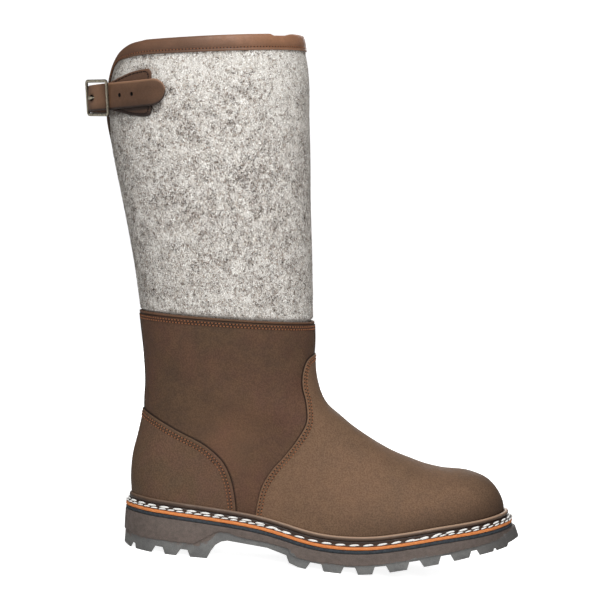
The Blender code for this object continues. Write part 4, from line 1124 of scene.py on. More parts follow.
# Overlays: rows climb along the seam, each running round from one side's seam to the other's
overlayLook = {
    "clear": 9.4, "gap": 0.35, "lift": 1.65, "edgeRound": 1.0, "rows": 130, "across": 34, "seamSamples": 180,
    "edgeSteps": np.array([0.0, 0.1, 0.25, 0.45, 0.7, 1.0, 1.4, 1.9, 2.5, 3.2, 4.0, 5.0]), "edgeRoom": 16.0,
    "stitchPull": 0.2, "pullWidth": 0.7, "edgeWear": (0.12, 0.45, 0.35), "stitchShade": (0.3, 1.8), "paintedEdgeShadow": 0.3,
    "merge": 0.00002, "stepLimit": (0.3, 0.1), "missLimit": 0.5, "minStep": 0.05, "acrossSamples": 150,
    "underLift": 0.2, "underGap": 0.5, "sideGrid": (240, 420), "sideEnd": 0.001,
    "bottomGrid": (241, 120), "bottomTop": 2.5,
}
vampLook = {
    "seam": table(
        "x z",
        (100.8, 20.0), (101.2, 42.0), (103.7, 58.5), (109.9, 72.0), (119.7, 85.5), (128.0, 99.0), (133.4, 113.0),
        (131.2, 126.0), (127.0, 138.5), (126.6, 150.0), (129.4, 159.2), (136.0, 164.2),
    ),
    "centre": math.pi, "stitchRows": (1.9, 4.4), "shadowLow": 0.5, "shadowRise": (84.0, 102.0), "shadowWide": 1.0,
}
counterLook = {
    "seam": table(
        "x z",
        (86.2, 20.0), (85.7, 38.0), (83.8, 48.0), (79.6, 61.8), (72.2, 74.6), (60.4, 84.4), (32.6, 96.6), (8.1, 107.0),
        (-6.0, 113.2),
    ),
    "centre": 0.0, "stitchRows": (3.1, 5.6), "shadowLow": 1.0, "shadowRise": (84.0, 102.0), "shadowWide": 1.5,
}
sidePlaces, sideAngles = np.meshgrid(
    np.linspace(0, topPlace, overlayLook["sideGrid"][0]),
    np.linspace(overlayLook["sideEnd"], math.pi - overlayLook["sideEnd"], overlayLook["sideGrid"][1]),
    indexing="ij",
)
sideView = upperPoint(sidePlaces, sideAngles)[..., [0, 2]]


def bottomPlaceTable(clear):
    angle = np.linspace(0, math.pi, overlayLook["bottomGrid"][0])
    places = np.linspace(0, overlayLook["bottomTop"], overlayLook["bottomGrid"][1])
    spots = np.array([upperPoint(p + 0 * angle, angle) for p in places])
    rise = spots[..., 2] - seat(spots[..., 0])
    return angle, np.array([np.interp(clear, rise[:, k], places) for k in range(len(angle))])


bottomAngles, bottomPlaces = bottomPlaceTable(overlayLook["clear"])


def bottomPlace(angle):
    return np.interp(np.arccos(np.clip(np.cos(angle), -1, 1)), bottomAngles, bottomPlaces)


def seamPlaces(seam, centre):  # places and angles of the seam, from the welt up to the centre line
    x, z, _ = lineThrough(seam["x"], seam["z"], overlayLook["seamSamples"])
    placeLimit, angleLimit = overlayLook["stepLimit"]
    places, angles = [], []
    for spot in np.stack([x, z], -1):
        gap = ((sideView - spot) ** 2).sum(-1)
        near = np.unravel_index(gap.argmin(), gap.shape)
        if gap[near] > overlayLook["missLimit"]:
            continue
        place, angle = sidePlaces[near], sideAngles[near]
        for _ in range(5):
            here, byPlace, byAngle = (v[[0, 2]] for v in slopes(np.array(place), np.array(angle)))
            step = np.linalg.lstsq(np.stack([byPlace, byAngle], -1), spot - here, rcond=None)[0]
            place = float(np.clip(place + np.clip(step[0], -placeLimit, placeLimit), 0, topPlace))
            angle = float(np.clip(angle + np.clip(step[1], -angleLimit, angleLimit), 0.0, math.pi))
        places.append(place)
        angles.append(angle)
    places, angles = np.array(places), np.array(angles)
    above = places > bottomPlace(angles)
    places, angles = places[above], angles[above]
    places = np.concatenate([[bottomPlace(angles[:1])[0]], places, [places[-1] + (places[-1] - places[-2])]])
    angles = np.concatenate([angles[:1], angles, [centre]])
    along = lengths(upperPoint(places, angles))
    at = np.linspace(0, along[-1], overlayLook["rows"])
    return np.interp(at, along, places), np.interp(at, along, angles)


def overlayGrid(seam, centre):
    look = overlayLook
    seamPlace, seamAngle = seamPlaces(seam, centre)
    foot = bottomPlace(seamAngle)
    share = np.maximum.accumulate((seamPlace - foot) / (seamPlace[-1] - foot))
    share[0] = 0.0
    places, angles = [], []
    for k in range(len(share)):
        dense = np.linspace(seamAngle[k], centre, look["acrossSamples"])
        densePlace = bottomPlace(dense) + share[k] * (seamPlace[-1] - bottomPlace(dense))
        along = lengths(upperPoint(densePlace, dense))
        steps = look["edgeSteps"] * min(1.0, along[-1] / look["edgeRoom"])
        steps = np.concatenate([steps, np.linspace(steps[-1], along[-1], look["across"])[1:]])
        half = np.interp(steps, along, dense)
        rowAngle = np.concatenate([half, (2 * centre - half)[-2::-1]])
        if centre == 0:
            rowAngle = rowAngle[::-1]
        angles.append(rowAngle)
        places.append(bottomPlace(rowAngle) + share[k] * (seamPlace[-1] - bottomPlace(rowAngle)))
    return np.array(places), np.array(angles), seamPlace, seamAngle


def fromSeam(spots, seamLine):
    flat = spots.reshape(-1, 3)
    apart = np.full(len(flat), np.inf)
    for first, way in zip(seamLine[:-1], np.diff(seamLine, axis=0)):
        share = np.clip(((flat - first) @ way) / (way @ way + 1e-12), 0, 1)
        apart = np.minimum(apart, np.linalg.norm(flat - first - share[:, None] * way, axis=1))
    return apart.reshape(spots.shape[:-1])


def slabFaces(rows, cols):  # a sheet, its underside and the strip between their borders
    sheet, count = gridFaces(rows, cols), rows * cols
    border = list(range(cols)) + [i * cols + cols - 1 for i in range(1, rows)]
    border += [(rows - 1) * cols + k for k in range(cols - 2, -1, -1)] + [i * cols for i in range(rows - 2, 0, -1)]
    sides = [[a, a + count, b + count, b] for a, b in zip(border, border[1:] + border[:1])]
    return sheet.tolist() + (sheet[:, ::-1] + count).tolist() + sides


def makeOverlay(name, node, shape, material):
    look, centre = overlayLook, shape["centre"]
    places, angles, seamPlace, seamAngle = overlayGrid(shape["seam"], centre)
    bothAngles = np.concatenate([seamAngle, (2 * centre - seamAngle)[::-1]])
    spot = upperPoint(places, angles)
    apart = fromSeam(spot, upperPoint(np.concatenate([seamPlace, seamPlace[::-1]]), bothAngles))
    rounded = np.sqrt(1 - (1 - np.clip(apart / look["edgeRound"], 0, 1)) ** 2)
    pull = look["stitchPull"] * sum(bell(apart - row, look["pullWidth"]) for row in shape["stitchRows"])
    lift = look["gap"] + (look["lift"] - look["gap"]) * rounded - pull
    outer = footPoint(places, angles, lift)
    under = footPoint(places, angles, np.minimum(lift - look["underLift"], look["gap"] * look["underGap"]))
    wear, wearAt, wearWidth = look["edgeWear"]
    edge = wear * bell(apart - wearAt, wearWidth)
    # painted shade: along the stitch rows, a dark line at the overlay's edge, at the toe and along the welt
    strength, width = look["stitchShade"]
    shade = strength * bell(apart - np.mean(shape["stitchRows"]), width)
    shade = np.maximum(np.maximum(shade, 1 - ease(0.0, look["paintedEdgeShadow"], apart)), paintedFootShade(spot))
    masks = {"cutEdgeAndHighlight": np.concatenate([edge, edge]), "paintedShade": np.concatenate([shade, shade])}
    piece = addMesh(name, np.concatenate([outer, under]), slabFaces(*places.shape), [material], masks)
    pointOut(piece, look["merge"])
    keep(piece, node, node)
    return seamStitchLines(name, seamPlace, seamAngle, shape)


shadowLook = table(
    "out lift shade", (-0.5, 0.12, 0.9), (0.0, 0.12, 0.9), (0.3, 0.12, 0.75), (0.7, 0.1, 0.3), (1.2, -0.05, 0.0),
)


def seamStitchLines(name, seamPlace, seamAngle, shape):  # adds a painted shadow strip just outside the seam's edge, gives the rows for its stitches
    centre = shape["centre"]
    place = np.concatenate([seamPlace, seamPlace[-2::-1]])
    angle = np.concatenate([seamAngle, (2 * centre - seamAngle)[-2::-1]])
    spot = upperPoint(place, angle)
    apart = np.concatenate([[True], np.linalg.norm(np.diff(spot, axis=0), axis=1) > overlayLook["minStep"]])
    place, angle, spot = place[apart], angle[apart], spot[apart]
    inward = np.cross(upperNormal(place, angle), unit(np.gradient(spot, axis=0))) * (1 if centre == 0 else -1)
    strips = [onFoot(spot - inward * out * shape["shadowWide"], place, angle, lift)[0]
              for out, lift in zip(shadowLook["out"], shadowLook["lift"])]
    strength = shape["shadowLow"] + (1 - shape["shadowLow"]) * ease(*shape["shadowRise"], spot[:, 2])
    masks = {"paintedShade": shadowLook["shade"][:, None] * strength}
    line = addMesh(name + "_painted_shadow", np.array(strips), gridFaces(len(strips), len(spot)), [quarterNubuck], masks)
    keep(line, "upper")
    threadLift = overlayLook["lift"] - overlayLook["stitchPull"]
    return [onFoot(spot + inward * row, place, angle, threadLift) for row in shape["stitchRows"]]


def onFoot(target, place, angle, lift):  # nearest points of the foot's surface
    placeLimit, angleLimit = overlayLook["stepLimit"]
    for _ in range(4):
        here, byPlace, byAngle = slopes(place, angle)
        miss = target - here
        a, b, c = (byPlace * byPlace).sum(-1), (byPlace * byAngle).sum(-1), (byAngle * byAngle).sum(-1)
        p, q = (byPlace * miss).sum(-1), (byAngle * miss).sum(-1)
        flat = np.maximum(a * c - b * b, 1e-9)
        place = np.clip(place + np.clip((c * p - b * q) / flat, -placeLimit, placeLimit), 0, topPlace)
        angle = angle + np.clip((a * q - b * p) / flat, -angleLimit, angleLimit)
    return footPoint(place, angle, lift), upperNormal(place, angle)


seamThread = {"pitch": 2.7, "length": 1.6, "radius": 0.46, "rise": 0.22, "sink": 0.0, "slant": 0.0, "hole": 0.6}
topEdgeLook = {"drops": (3.4, 5.4), "lift": -0.05, "samples": 900}


def topEdgeStitches():
    look = topEdgeLook
    angle = np.linspace(0, 2 * math.pi, look["samples"])
    places = topEdgePlaces(look["drops"], angle)
    return [(footPoint(place, angle, look["lift"]), upperNormal(place, angle)) for place in places]


# Felt shaft
feltLook = {
    "tuck": 13.0, "swell": 1.6, "footIn": 0.8, "footReach": 0.12, "wall": 3.0, "leatherWall": 2.2, "gap": 0.3,
    "rows": 64, "rowPower": 1.15, "innerRows": 12, "edgeColumns": 46, "sideColumns": 46,
    "wave": 0.35, "waveFrom": (0.06, 0.25), "waveRound": (0.061, 0.023), "waveUp": (5.0, 11.0),
}
edgeRound, edgeDrop, _ = lineThrough(shaftShape["edge"]["round"], shaftShape["edge"]["drop"], feltLook["edgeColumns"])


def collarColumns():
    side = np.linspace(edgeRound[-1], halfRound, feltLook["sideColumns"] + 1)[1:]
    half = np.concatenate([edgeRound, side])
    drop = np.concatenate([edgeDrop, 0 * side])
    return np.concatenate([half, -half[-2:0:-1]]), np.concatenate([drop, drop[-2:0:-1]])


def feltLift(distance, share):
    look = feltLook
    swell = look["swell"] / shaftLength
    tucked = -(look["leatherWall"] + 2 * look["gap"]) * (1 - ease(look["gap"] / shaftLength, swell, share))
    first, second = (np.sin(distance * way + share * up) for way, up in zip(look["waveRound"], look["waveUp"]))
    footIn = look["footIn"] * (1 - ease(0.0, look["footReach"], share))
    return tucked - footIn + look["wave"] * (first * second) * ease(*look["waveFrom"], share)


clumpLook = {
    "seed": 5, "layers": ((1.7, 0.6), (3.6, 0.6), (9.0, 0.38), (28.0, 0.24)), "middle": 0.35,
    "paintedTopLight": 0.28, "paleFrom": (0.6, 0.95), "strapShadow": 0.95, "strapReach": (-8.0, -1.0), "strapInside": 3.0,
    "tipShort": 4.0, "bindingShadow": 0.55, "bindingReach": (9.5, 13.0),
}


def woolClumps(distance, share):  # darker and paler clumps of wool, around zero
    draw = np.random.default_rng(clumpLook["seed"])
    total = 0
    for size, weight in clumpLook["layers"]:
        cols, rows = int(2 * halfRound / size) + 3, int(shaftLength / size) + 8
        lattice = draw.random((rows, cols)) - 0.5
        u = (np.asarray(distance) + halfRound) / size
        v = np.clip(np.asarray(share) * shaftLength / size + 3, 0, rows - 2)
        i, j = v.astype(int), np.clip(u.astype(int), 0, cols - 2)
        a, b = ease(0, 1, v - i), ease(0, 1, u - j)
        low = lattice[i, j] * (1 - b) + lattice[i, j + 1] * b
        high = lattice[i + 1, j] * (1 - b) + lattice[i + 1, j + 1] * b
        total = total + weight * (low * (1 - a) + high * a)
    return total


def woolToneAndShade(distance, share):  # clumps, with painted light and shade: a paler top to the shaft, and painted shadows by the strap and the binding
    look, strap = clumpLook, strapLook
    distance, share = np.asarray(distance), np.asarray(share)
    rise = (share - strapShare(distance)) * shaftLength + strap["width"] / 2
    strapShadow = ease(*look["strapReach"], rise) * (rise < look["strapInside"])
    strapShadow = strapShadow * (distance > strap["root"]) * (distance < strap["tip"] - look["tipShort"])
    below = (1 - share) * shaftLength - np.interp(np.abs(distance), edgeRound, edgeDrop)
    bindingShadow = (1 - ease(*look["bindingReach"], below)) * (below > 0)
    tone = woolClumps(distance, share) - look["paintedTopLight"] * ease(*look["paleFrom"], share)
    return tone + np.maximum(look["strapShadow"] * strapShadow, look["bindingShadow"] * bindingShadow)


def makeFelt():
    look = feltLook
    distance, drop = collarColumns()
    top = 1 - drop / shaftLength
    low = -look["tuck"] / shaftLength
    first = (look["gap"] + look["tuck"]) / (shaftLength + look["tuck"])
    outerPart = first + np.linspace(0, 1, look["rows"]) ** look["rowPower"] * (1 - first)
    parts = (np.concatenate([[0.0], outerPart]), np.linspace(1, 0, look["innerRows"]))
    shares = [low + (top - low)[None] * part[:, None] for part in parts]
    rounds = [np.tile(distance, (len(part), 1)) for part in parts]
    lifts = [feltLift(around, share) for around, share in zip(rounds, shares)]
    lifts[1] = np.minimum(lifts[1], 0.0) - look["wall"]
    around, share = np.concatenate(rounds), np.concatenate(shares)
    grid = onShaft(around, share, np.concatenate(lifts))
    faces = gridFaces(len(grid), len(distance), closeRows=True, closeCols=True)
    clumpsAndShade = np.clip(clumpLook["middle"] + woolToneAndShade(around, share), 0, 1)
    felt = addMesh("felt_tube", grid, faces, [shaftFelt], {"clumpsAndShade": clumpsAndShade})
    pointOut(felt)
    return keep(felt, "felt_shaft", "felt_shaft")


wools = table(
    "share red green blue",
    (0.42, 250, 248, 243), (0.17, 214, 207, 196), (0.12, 168, 148, 132), (0.15, 104, 84, 72), (0.14, 46, 34, 29),
)
fleckLook = {
    "count": 46000, "seed": 11, "length": (0.7, 1.9), "width": (0.28, 0.62), "lift": (0.05, 0.3),
    "stray": 0.0, "strayLift": 0.0,
}
hairLook = {
    "count": 44000, "seed": 12, "length": (1.6, 4.2), "width": (0.16, 0.31), "lift": (0.2, 0.5),
    "stray": 0.06, "strayLift": 0.9,
}
fibreLook = {  # what flecks and hairs share
    "from": 0.012, "clear": 9.0, "bow": 0.5, "bend": 1.2, "narrowEnd": 0.35, "lowEnd": 0.15, "clumpsAndShade": 0.7,
    "shade": (0.85, 1.12),
}


def makeFibres(name, look):
    both = fibreLook
    draw = np.random.default_rng(look["seed"])
    count = look["count"]
    distance = draw.uniform(-halfRound, halfRound, count * 2)
    share = draw.uniform(both["from"], 1.0, count * 2)
    room = 1 - np.interp(np.abs(distance), edgeRound, edgeDrop) / shaftLength
    inside = share < room - both["clear"] / shaftLength
    distance, share = distance[inside][:count], share[inside][:count]
    count = len(distance)
    heading = draw.uniform(0, math.pi, count)
    length = draw.uniform(*look["length"], count)
    width = draw.uniform(*look["width"], count)
    bow = draw.normal(0.0, both["bow"], count)
    high = draw.uniform(*look["lift"], count)
    stray = (draw.random(count) < look["stray"]) * look["strayLift"] * draw.random(count)
    rows = []
    for step in (-0.5, 0.0, 0.5):
        turn = heading + bow * step * both["bend"]
        half = width / 2 * (both["narrowEnd"] if step else 1.0)
        lift = high * (both["lowEnd"] if step else 1.0) + stray * (step > 0)
        for side in (-1, 1):
            at = distance + np.cos(turn) * length * step - np.sin(turn) * half * side
            up = share + (np.sin(turn) * length * step + np.cos(turn) * half * side) / shaftLength
            rows.append(onShaft(at, up, feltLift(at, up) + lift))
    first = np.arange(count)[:, None] * len(rows)
    faces = np.concatenate([first + [0, 1, 3, 2], first + [2, 3, 5, 4]])
    chance = draw.random(count) + both["clumpsAndShade"] * woolToneAndShade(distance, share)
    pick = np.searchsorted(np.cumsum(wools["share"]), np.clip(chance, 0.0, 0.999))
    tint = np.array([rgb(*row) for row in zip(wools["red"], wools["green"], wools["blue"])])[pick]
    tint[:, :3] *= draw.uniform(*both["shade"], count)[:, None]
    fibres = addMesh(name, np.stack(rows, 1), faces, [feltFibre], {"wool": np.repeat(tint, len(rows), axis=0)})
    return keep(fibres, "felt_shaft")


# Collar binding
bindingLook = {
    "flap": table("drop flap", (0.0, 10.0), (4.0, 8.4), (8.0, 5.6), (12.0, 3.2), (17.0, 1.5), (24.0, 0.9), (89.0, 0.9)),
    "outer": table(  # share of the flap, lift, and how much cut edge and painted shade show, from the lower edge up
        "part lift edge pinch",
        (1.0, 0.25, 0.2, 0.85), (1.015, 0.9, 0.9, 0.0), (1.0, 1.5, 0.9, 0.22), (0.96, 1.75, 0.4, 0.26),
        (0.88, 1.6, 0.0, 0.36), (0.78, 1.3, 0.0, 0.42), (0.68, 1.65, 0.0, 0.34), (0.5, 1.95, 0.0, 0.2),
        (0.25, 2.0, 0.0, 0.06), (0.05, 1.85, 0.0, 0.0),
    ),
    "fold": table(
        "reach lift", (-0.9, 1.3), (-1.5, 0.5), (-1.8, -0.6), (-1.8, -2.4), (-1.5, -3.5), (-0.8, -4.4), (0.2, -4.9),
    ),
    "foldEdge": 0.12, "inner": table("part lift", (0.35, -5.0), (0.7, -4.9), (0.7, -3.5)), "innerEdge": 0.2,
    "hidden": table("reach lift", (-0.3, -3.5), (-0.3, 0.25)), "edgeWear": 0.5,
    "slitShade": 0.82, "slitFrom": (8.0, 30.0), "backShade": 0.52, "backEnd": (5.0, 80.0),
    "endTaper": 0.92, "taperFrom": (56.0, 82.0), "joinAt": (79.4, 80.4), "joinEnd": (89.0, 94.0), "joinDip": 1.3,
    "stitchAt": 0.78, "stitchLift": 1.35,
}


def bindingPath():
    distance, drop = collarColumns()
    height = shaftLength - drop
    total = 2 * halfRound
    run = (np.roll(distance, -1) - np.roll(distance, 1) + total / 2) % total - total / 2
    rise = np.roll(height, -1) - np.roll(height, 1)
    length = np.hypot(run, rise)
    flap = np.interp(drop, bindingLook["flap"]["drop"], bindingLook["flap"]["flap"])
    return distance, height, rise / length, -run / length, flap


def bindingLine(reach, lift):
    distance, height, inRound, inRise, _ = bindingPath()
    return onShaft(distance + inRound * reach, (height + inRise * reach) / shaftLength, lift + 0 * distance)


def joinDip():  # the ends of the binding overlap here, on the outer side near the front
    spot = bindingLine(0.0, 0.0)
    here = ease(*bindingLook["joinAt"], spot[:, 0]) * (1 - ease(*bindingLook["joinEnd"], spot[:, 0]))
    return bindingLook["joinDip"] * here * (spot[:, 1] < 0)


def makeBinding():
    look = bindingLook
    drop, flap = collarColumns()[1], bindingPath()[-1]
    dip = joinDip()
    taper = 1 - look["endTaper"] * ease(*look["taperFrom"], drop)  # pressed flat into the felt at the slit's end
    loops, edge, pinch = [], [], []
    for row in tableRows(look["outer"]):
        reach = flap * row["part"] + dip * (row["part"] < 0.3)
        loops.append(bindingLine(reach, row["lift"] * taper - dip * 0.5 * (row["part"] < 0.6)))
        edge.append(row["edge"])
        pinch.append(row["pinch"])
    hidden = [(row["reach"] + dip, row["lift"], look["foldEdge"]) for row in tableRows(look["fold"])]
    hidden += [(row["part"] * flap, row["lift"], look["innerEdge"]) for row in tableRows(look["inner"])]
    hidden += [(row["reach"] + 0 * flap, row["lift"], 0.0) for row in tableRows(look["hidden"])]
    for reach, lift, mark in hidden:
        loops.append(bindingLine(reach, lift * taper if lift > 0 else lift))
        edge.append(mark)
        pinch.append(0.0)
    faces = gridFaces(len(loops), len(drop), closeRows=True, closeCols=True)
    # painted shade: darker toward the back, which turns from the light, on the lower rows, and down the slit where the
    # binding is seen edge-on
    back = look["backShade"] * (1 - ease(*look["backEnd"], bindingLine(0.0, 0.0)[:, 0]))
    pinch = np.array(pinch)[:, None]
    shade = np.maximum(pinch + back - pinch * back, look["slitShade"] * ease(*look["slitFrom"], drop))
    masks = {"cutEdgeAndHighlight": np.repeat(edge, len(drop)) * look["edgeWear"], "paintedShade": shade}
    binding = addMesh("collar_fold", np.array(loops), faces, [bindingLeather], masks)
    pointOut(binding)
    keep(binding, "collar_binding", "collar_binding")
    line = bindingLine(flap * look["stitchAt"], look["stitchLift"])
    up = unit(bindingLine(flap * look["stitchAt"], look["stitchLift"] + 1.0) - line)
    start = len(edgeRound) // 3
    return [np.roll(part, -start, axis=0)[: len(line) - 2 * start] for part in (line, up)]


# Strap, its patch and the buckle
strapLook = {
    "z": 345.8, "x": -40.0, "slope": 0.19, "width": 20.6, "wall": 2.2, "tip": 79.4, "root": -74.0,
    "lift": 3.1, "rootLift": 0.7, "bow": 10.8, "bowApex": 10.0, "bowReach": 50.0,
    "stations": 130, "tipSteps": 22, "tipStart": 0.1, "sharpAngle": 40.0,
    "holes": table("at long high", (18.6, 4.2, 2.3), (44.2, 1.25, 1.6), (53.6, 1.25, 1.6)),
    "holeFloor": 0.5, "holeTop": 2.0, "holeSides": 20, "neck": 0.05, "neckAt": 18.0, "neckReach": 16.0, "edgeWear": 0.8,
    "paintedBendLight": 0.6, "bendAt": 20.0, "bendReach": 13.0,  # painted light: paler where the strap bows out over the buckle towards the light
    "section": table(  # round the strap's edge: share of the half width, share of the wall, how much cut edge shows
        "across through edge",
        (-0.93, 0.03, 0.3), (-0.985, 0.2, 1.0), (-1.0, 0.5, 1.0), (-0.985, 0.8, 1.0), (-0.93, 0.97, 0.7),
        (-0.8, 1.02, 0.1), (-0.4, 1.06, 0.0), (0.0, 1.07, 0.0), (0.4, 1.06, 0.0), (0.8, 1.02, 0.1),
        (0.93, 0.97, 0.7), (0.985, 0.8, 1.0), (1.0, 0.5, 1.0), (0.985, 0.2, 1.0), (0.93, 0.03, 0.3),
        (0.4, 0.0, 0.0), (-0.4, 0.0, 0.0),
    ),
}
# painted light and shade: lower cut edges shown dim, upper ones lit, and the underside edge painted dark as the shadow
# below
bandLook = {"lowEdge": 0.1, "underside": 0.95, "undersideFrom": (0.72, 0.92), "undersideTop": 0.1}


def strapShare(distance):
    look, angle = strapLook, shaftAngle(distance)
    share = np.full(np.shape(distance), shaftShape["roundAt"])
    for _ in range(6):
        here = shaftRing(share, angle)
        share = share + (look["z"] + look["slope"] * (here[..., 0] - look["x"]) - here[..., 2]) / shaftLength
    return share


def strapLift(distance):
    look = strapLook
    rest = np.where(np.asarray(distance) > 0, look["lift"], look["rootLift"])
    bowed = 1 - ease(0.0, look["bowReach"], np.abs(distance - look["bowApex"]))
    return rest + (look["lift"] + look["bow"] - rest) * bowed


def strapPoint(distance, lift, rise=0.0):
    distance = np.asarray(distance, float)
    return onShaft(distance, strapShare(distance) + rise / shaftLength, lift + 0 * distance)


def bandLoops(distance, below, above, lift, wall, section):
    loops = []
    for across, through in zip(section["across"], section["through"]):
        rise = np.where(across < 0, across * below, across * above)
        loops.append(strapPoint(distance, lift + through * wall, rise))
    return np.array(loops).transpose(1, 0, 2)


def addBand(name, loops, section, material, wear, paintedLight=0.0, shade=0.0):
    stations, count = loops.shape[:2]
    look, across = bandLook, section["across"]
    # cut edges, dim on the lower side, plus painted light; the lower edge painted dark as shadow
    edge = wear * np.where(across < 0, look["lowEdge"], 1.0) * section["edge"]
    edge = np.maximum(edge, np.zeros((stations, 1)) + np.reshape(paintedLight, (-1, 1)))
    dark = look["underside"] * ease(*look["undersideFrom"], -across) * (section["through"] > look["undersideTop"])
    masks = {"cutEdgeAndHighlight": edge, "paintedShade": np.maximum(dark, shade + 0 * edge)}
    band = addMesh(name, loops, tubeFaces(stations, count), [material], masks)
    pointOut(band)
    return band


def addPunch(name, place, long, tall):
    look, lift = strapLook, strapLift(place)
    low, high = strapPoint(place, lift + look["holeFloor"]), strapPoint(place, lift + look["wall"] + look["holeTop"])
    ahead, behind = (strapPoint(place + step, strapLift(place + step)) for step in (1.0, -1.0))
    along = unit(ahead - behind)
    up = unit(np.cross(high - low, along))
    turn = np.arange(look["holeSides"])[:, None] * 2 * math.pi / look["holeSides"]
    circle = np.cos(turn) * along * long + np.sin(turn) * up * tall
    faces = tubeFaces(2, look["holeSides"])
    points = np.concatenate([low + circle, high + circle])
    punch = addMesh(name, points, faces, [strapLeather, holeShade], None, np.ones(len(faces)))
    pointOut(punch)
    return punch


def makeStrap():
    look = strapLook
    tipRound = look["width"] / 2
    tipTurn = np.linspace(look["tipStart"], math.pi / 2, look["tipSteps"])
    tip = look["tip"] - tipRound * (1 - np.cos(tipTurn))[::-1]
    distance = np.concatenate([np.linspace(look["root"], tip[0], look["stations"])[:-1], tip])
    into = np.clip(distance - look["tip"] + tipRound, 0, None)
    neck = 1 - look["neck"] * bell(distance - look["neckAt"], look["neckReach"])
    half = np.sqrt(np.maximum(tipRound ** 2 - into ** 2, 0.0)) * neck
    loops = bandLoops(distance, half, half, strapLift(distance), look["wall"], look["section"])
    # painted light on the bowed part that faces the light
    paintedLight = look["paintedBendLight"] * bell(distance - look["bendAt"], look["bendReach"])
    strap = addBand("strap_band", loops, look["section"], strapLeather, look["edgeWear"], paintedLight)
    strap.data.materials.append(holeShade)
    punches = [addPunch(f"punch_{number}", *row) for number, row in enumerate(zip(*look["holes"].values()))]
    for punch in punches:
        hole = strap.modifiers.new("hole", "BOOLEAN")
        hole.operation = "DIFFERENCE"
        hole.solver = "EXACT"
        hole.object = punch
    settle(strap)
    for punch in punches:
        bpy.data.objects.remove(punch)
    strap.data.shade_smooth()
    strap.data.set_sharp_from_angle(angle=math.radians(look["sharpAngle"]))
    return keep(strap, "strap", "strap")


patchLook = {
    "shape": table(
        "round below above",
        (16.9, 8.5, 8.5), (34.0, 10.4, 11.2), (42.8, 13.5, 14.8), (50.3, 16.0, 17.3), (57.0, 17.4, 18.3),
        (67.5, 18.2, 18.5),
    ),
    "wall": 1.5, "rest": 0.7, "underStrap": 0.6, "corner": 3.6, "stations": 70, "cornerSteps": 9, "edgeWear": 0.25,
    "faceRows": 31, "faceHalf": 0.75, "faceThrough": 1.04,  # finer rows on the face, for the strap's shadow
    "strapShade": 0.92, "shadeFrom": (-2.0, 0.5), "shadeTo": (1.2, 4.0),
    "stitchIn": 2.0, "stitchFrom": 8.0, "stitchSteps": (90, 40), "sideLift": 1.03, "endLift": 1.05, "stitchUp": 3.0,
}


def patchHalf(distance, column, inset=0.0):
    half = smooth(patchLook["shape"]["round"], patchLook["shape"][column], distance) - inset
    left = patchLook["shape"]["round"][-1] - inset - distance
    corner = patchLook["corner"]
    return half - corner * (1 - np.sqrt(np.clip(1 - (1 - np.clip(left / corner, 0, 1)) ** 2, 0, 1)))


def patchLift(distance):
    return np.maximum(strapLift(distance) - patchLook["wall"] - patchLook["underStrap"], patchLook["rest"])


def makePatch():
    look = patchLook
    first, last = look["shape"]["round"][0], look["shape"]["round"][-1]
    bend = last - look["corner"] * (1 - np.sin(np.linspace(0, math.pi / 2, look["cornerSteps"])))
    distance = np.concatenate([np.linspace(first, last - look["corner"], look["stations"])[:-1], bend])
    face = np.linspace(-look["faceHalf"], look["faceHalf"], look["faceRows"])
    fills = {"across": face, "through": look["faceThrough"] + 0 * face, "edge": 0 * face}
    section = {}
    for name, column in strapLook["section"].items():
        section[name] = np.insert(np.delete(column, (6, 7, 8)), 6, fills[name])
    below = patchHalf(distance, "below")
    loops = bandLoops(distance, below, patchHalf(distance, "above"), patchLift(distance), look["wall"], section)
    under = -section["across"][None] * below[:, None] - strapLook["width"] / 2
    shade = look["strapShade"] * ease(*look["shadeFrom"], under) * (1 - ease(*look["shadeTo"], under))
    patch = addBand("strap_patch_leather", loops, section, patchLeather, look["edgeWear"], 0.0, shade)
    keep(patch, "strap_patch", "strap_patch")
    inset, (sideSteps, endSteps) = look["stitchIn"], look["stitchSteps"]
    run = np.linspace(first + look["stitchFrom"], last - inset, sideSteps)
    top, low = patchHalf(run, "above", inset), -patchHalf(run, "below", inset)
    end = np.linspace(top[-1], low[-1], endSteps)[1:-1]
    at = np.concatenate([run, np.full(len(end), last - inset), run[::-1]])
    rise = np.concatenate([top, end, low[::-1]])
    through = np.full(len(at), look["sideLift"])
    through[sideSteps:-sideSteps] = look["endLift"]
    line = strapPoint(at, patchLift(at) + look["wall"] * through, rise)
    return line, unit(strapPoint(at, patchLift(at) + look["stitchUp"], rise) - line)


buckleLook = {
    "innerBar": 8.5, "outerBar": 36.0, "barGap": 0.4, "barPress": 0.9, "barRadius": 1.2, "barSides": 14,
    "squareness": 0.75, "barWide": 1.05, "barThick": 0.85, "loopSteps": 120, "height": 25.8, "rise": 0.7,
    "corner": 2.2, "cornerSteps": 7, "turn": 0.06, "lean": 0.08, "prongRadius": 1.35, "prongWide": 1.25,
    "prongReach": 7.2, "prongBack": 3.0, "prongSteps": 24, "prongTaper": 0.88,
    "prongRests": ((-1.0, -3.6), (0.0, -1.1), (0.8, 0.5)), "prongOver": ((0.55, 0.75), (1.0, 0.35)),
}
barTurn = np.arange(buckleLook["barSides"]) * 2 * math.pi / buckleLook["barSides"]


def squared(values):  # a circle's sines and cosines, pressed towards a square
    return (np.sign(values) * np.abs(values) ** buckleLook["squareness"])[None, :, None]


def sweep(points, up, wide, thick, closed):
    ahead = np.gradient(points, axis=0)
    if closed:
        ahead = np.roll(points, -1, axis=0) - np.roll(points, 1, axis=0)
    side = unit(np.cross(up, unit(ahead)))
    wide, thick = (np.reshape(size, (-1, 1, 1)) for size in (wide, thick))
    return points[:, None] + side[:, None] * (squared(np.cos(barTurn)) * wide) + up * (squared(np.sin(barTurn)) * thick)


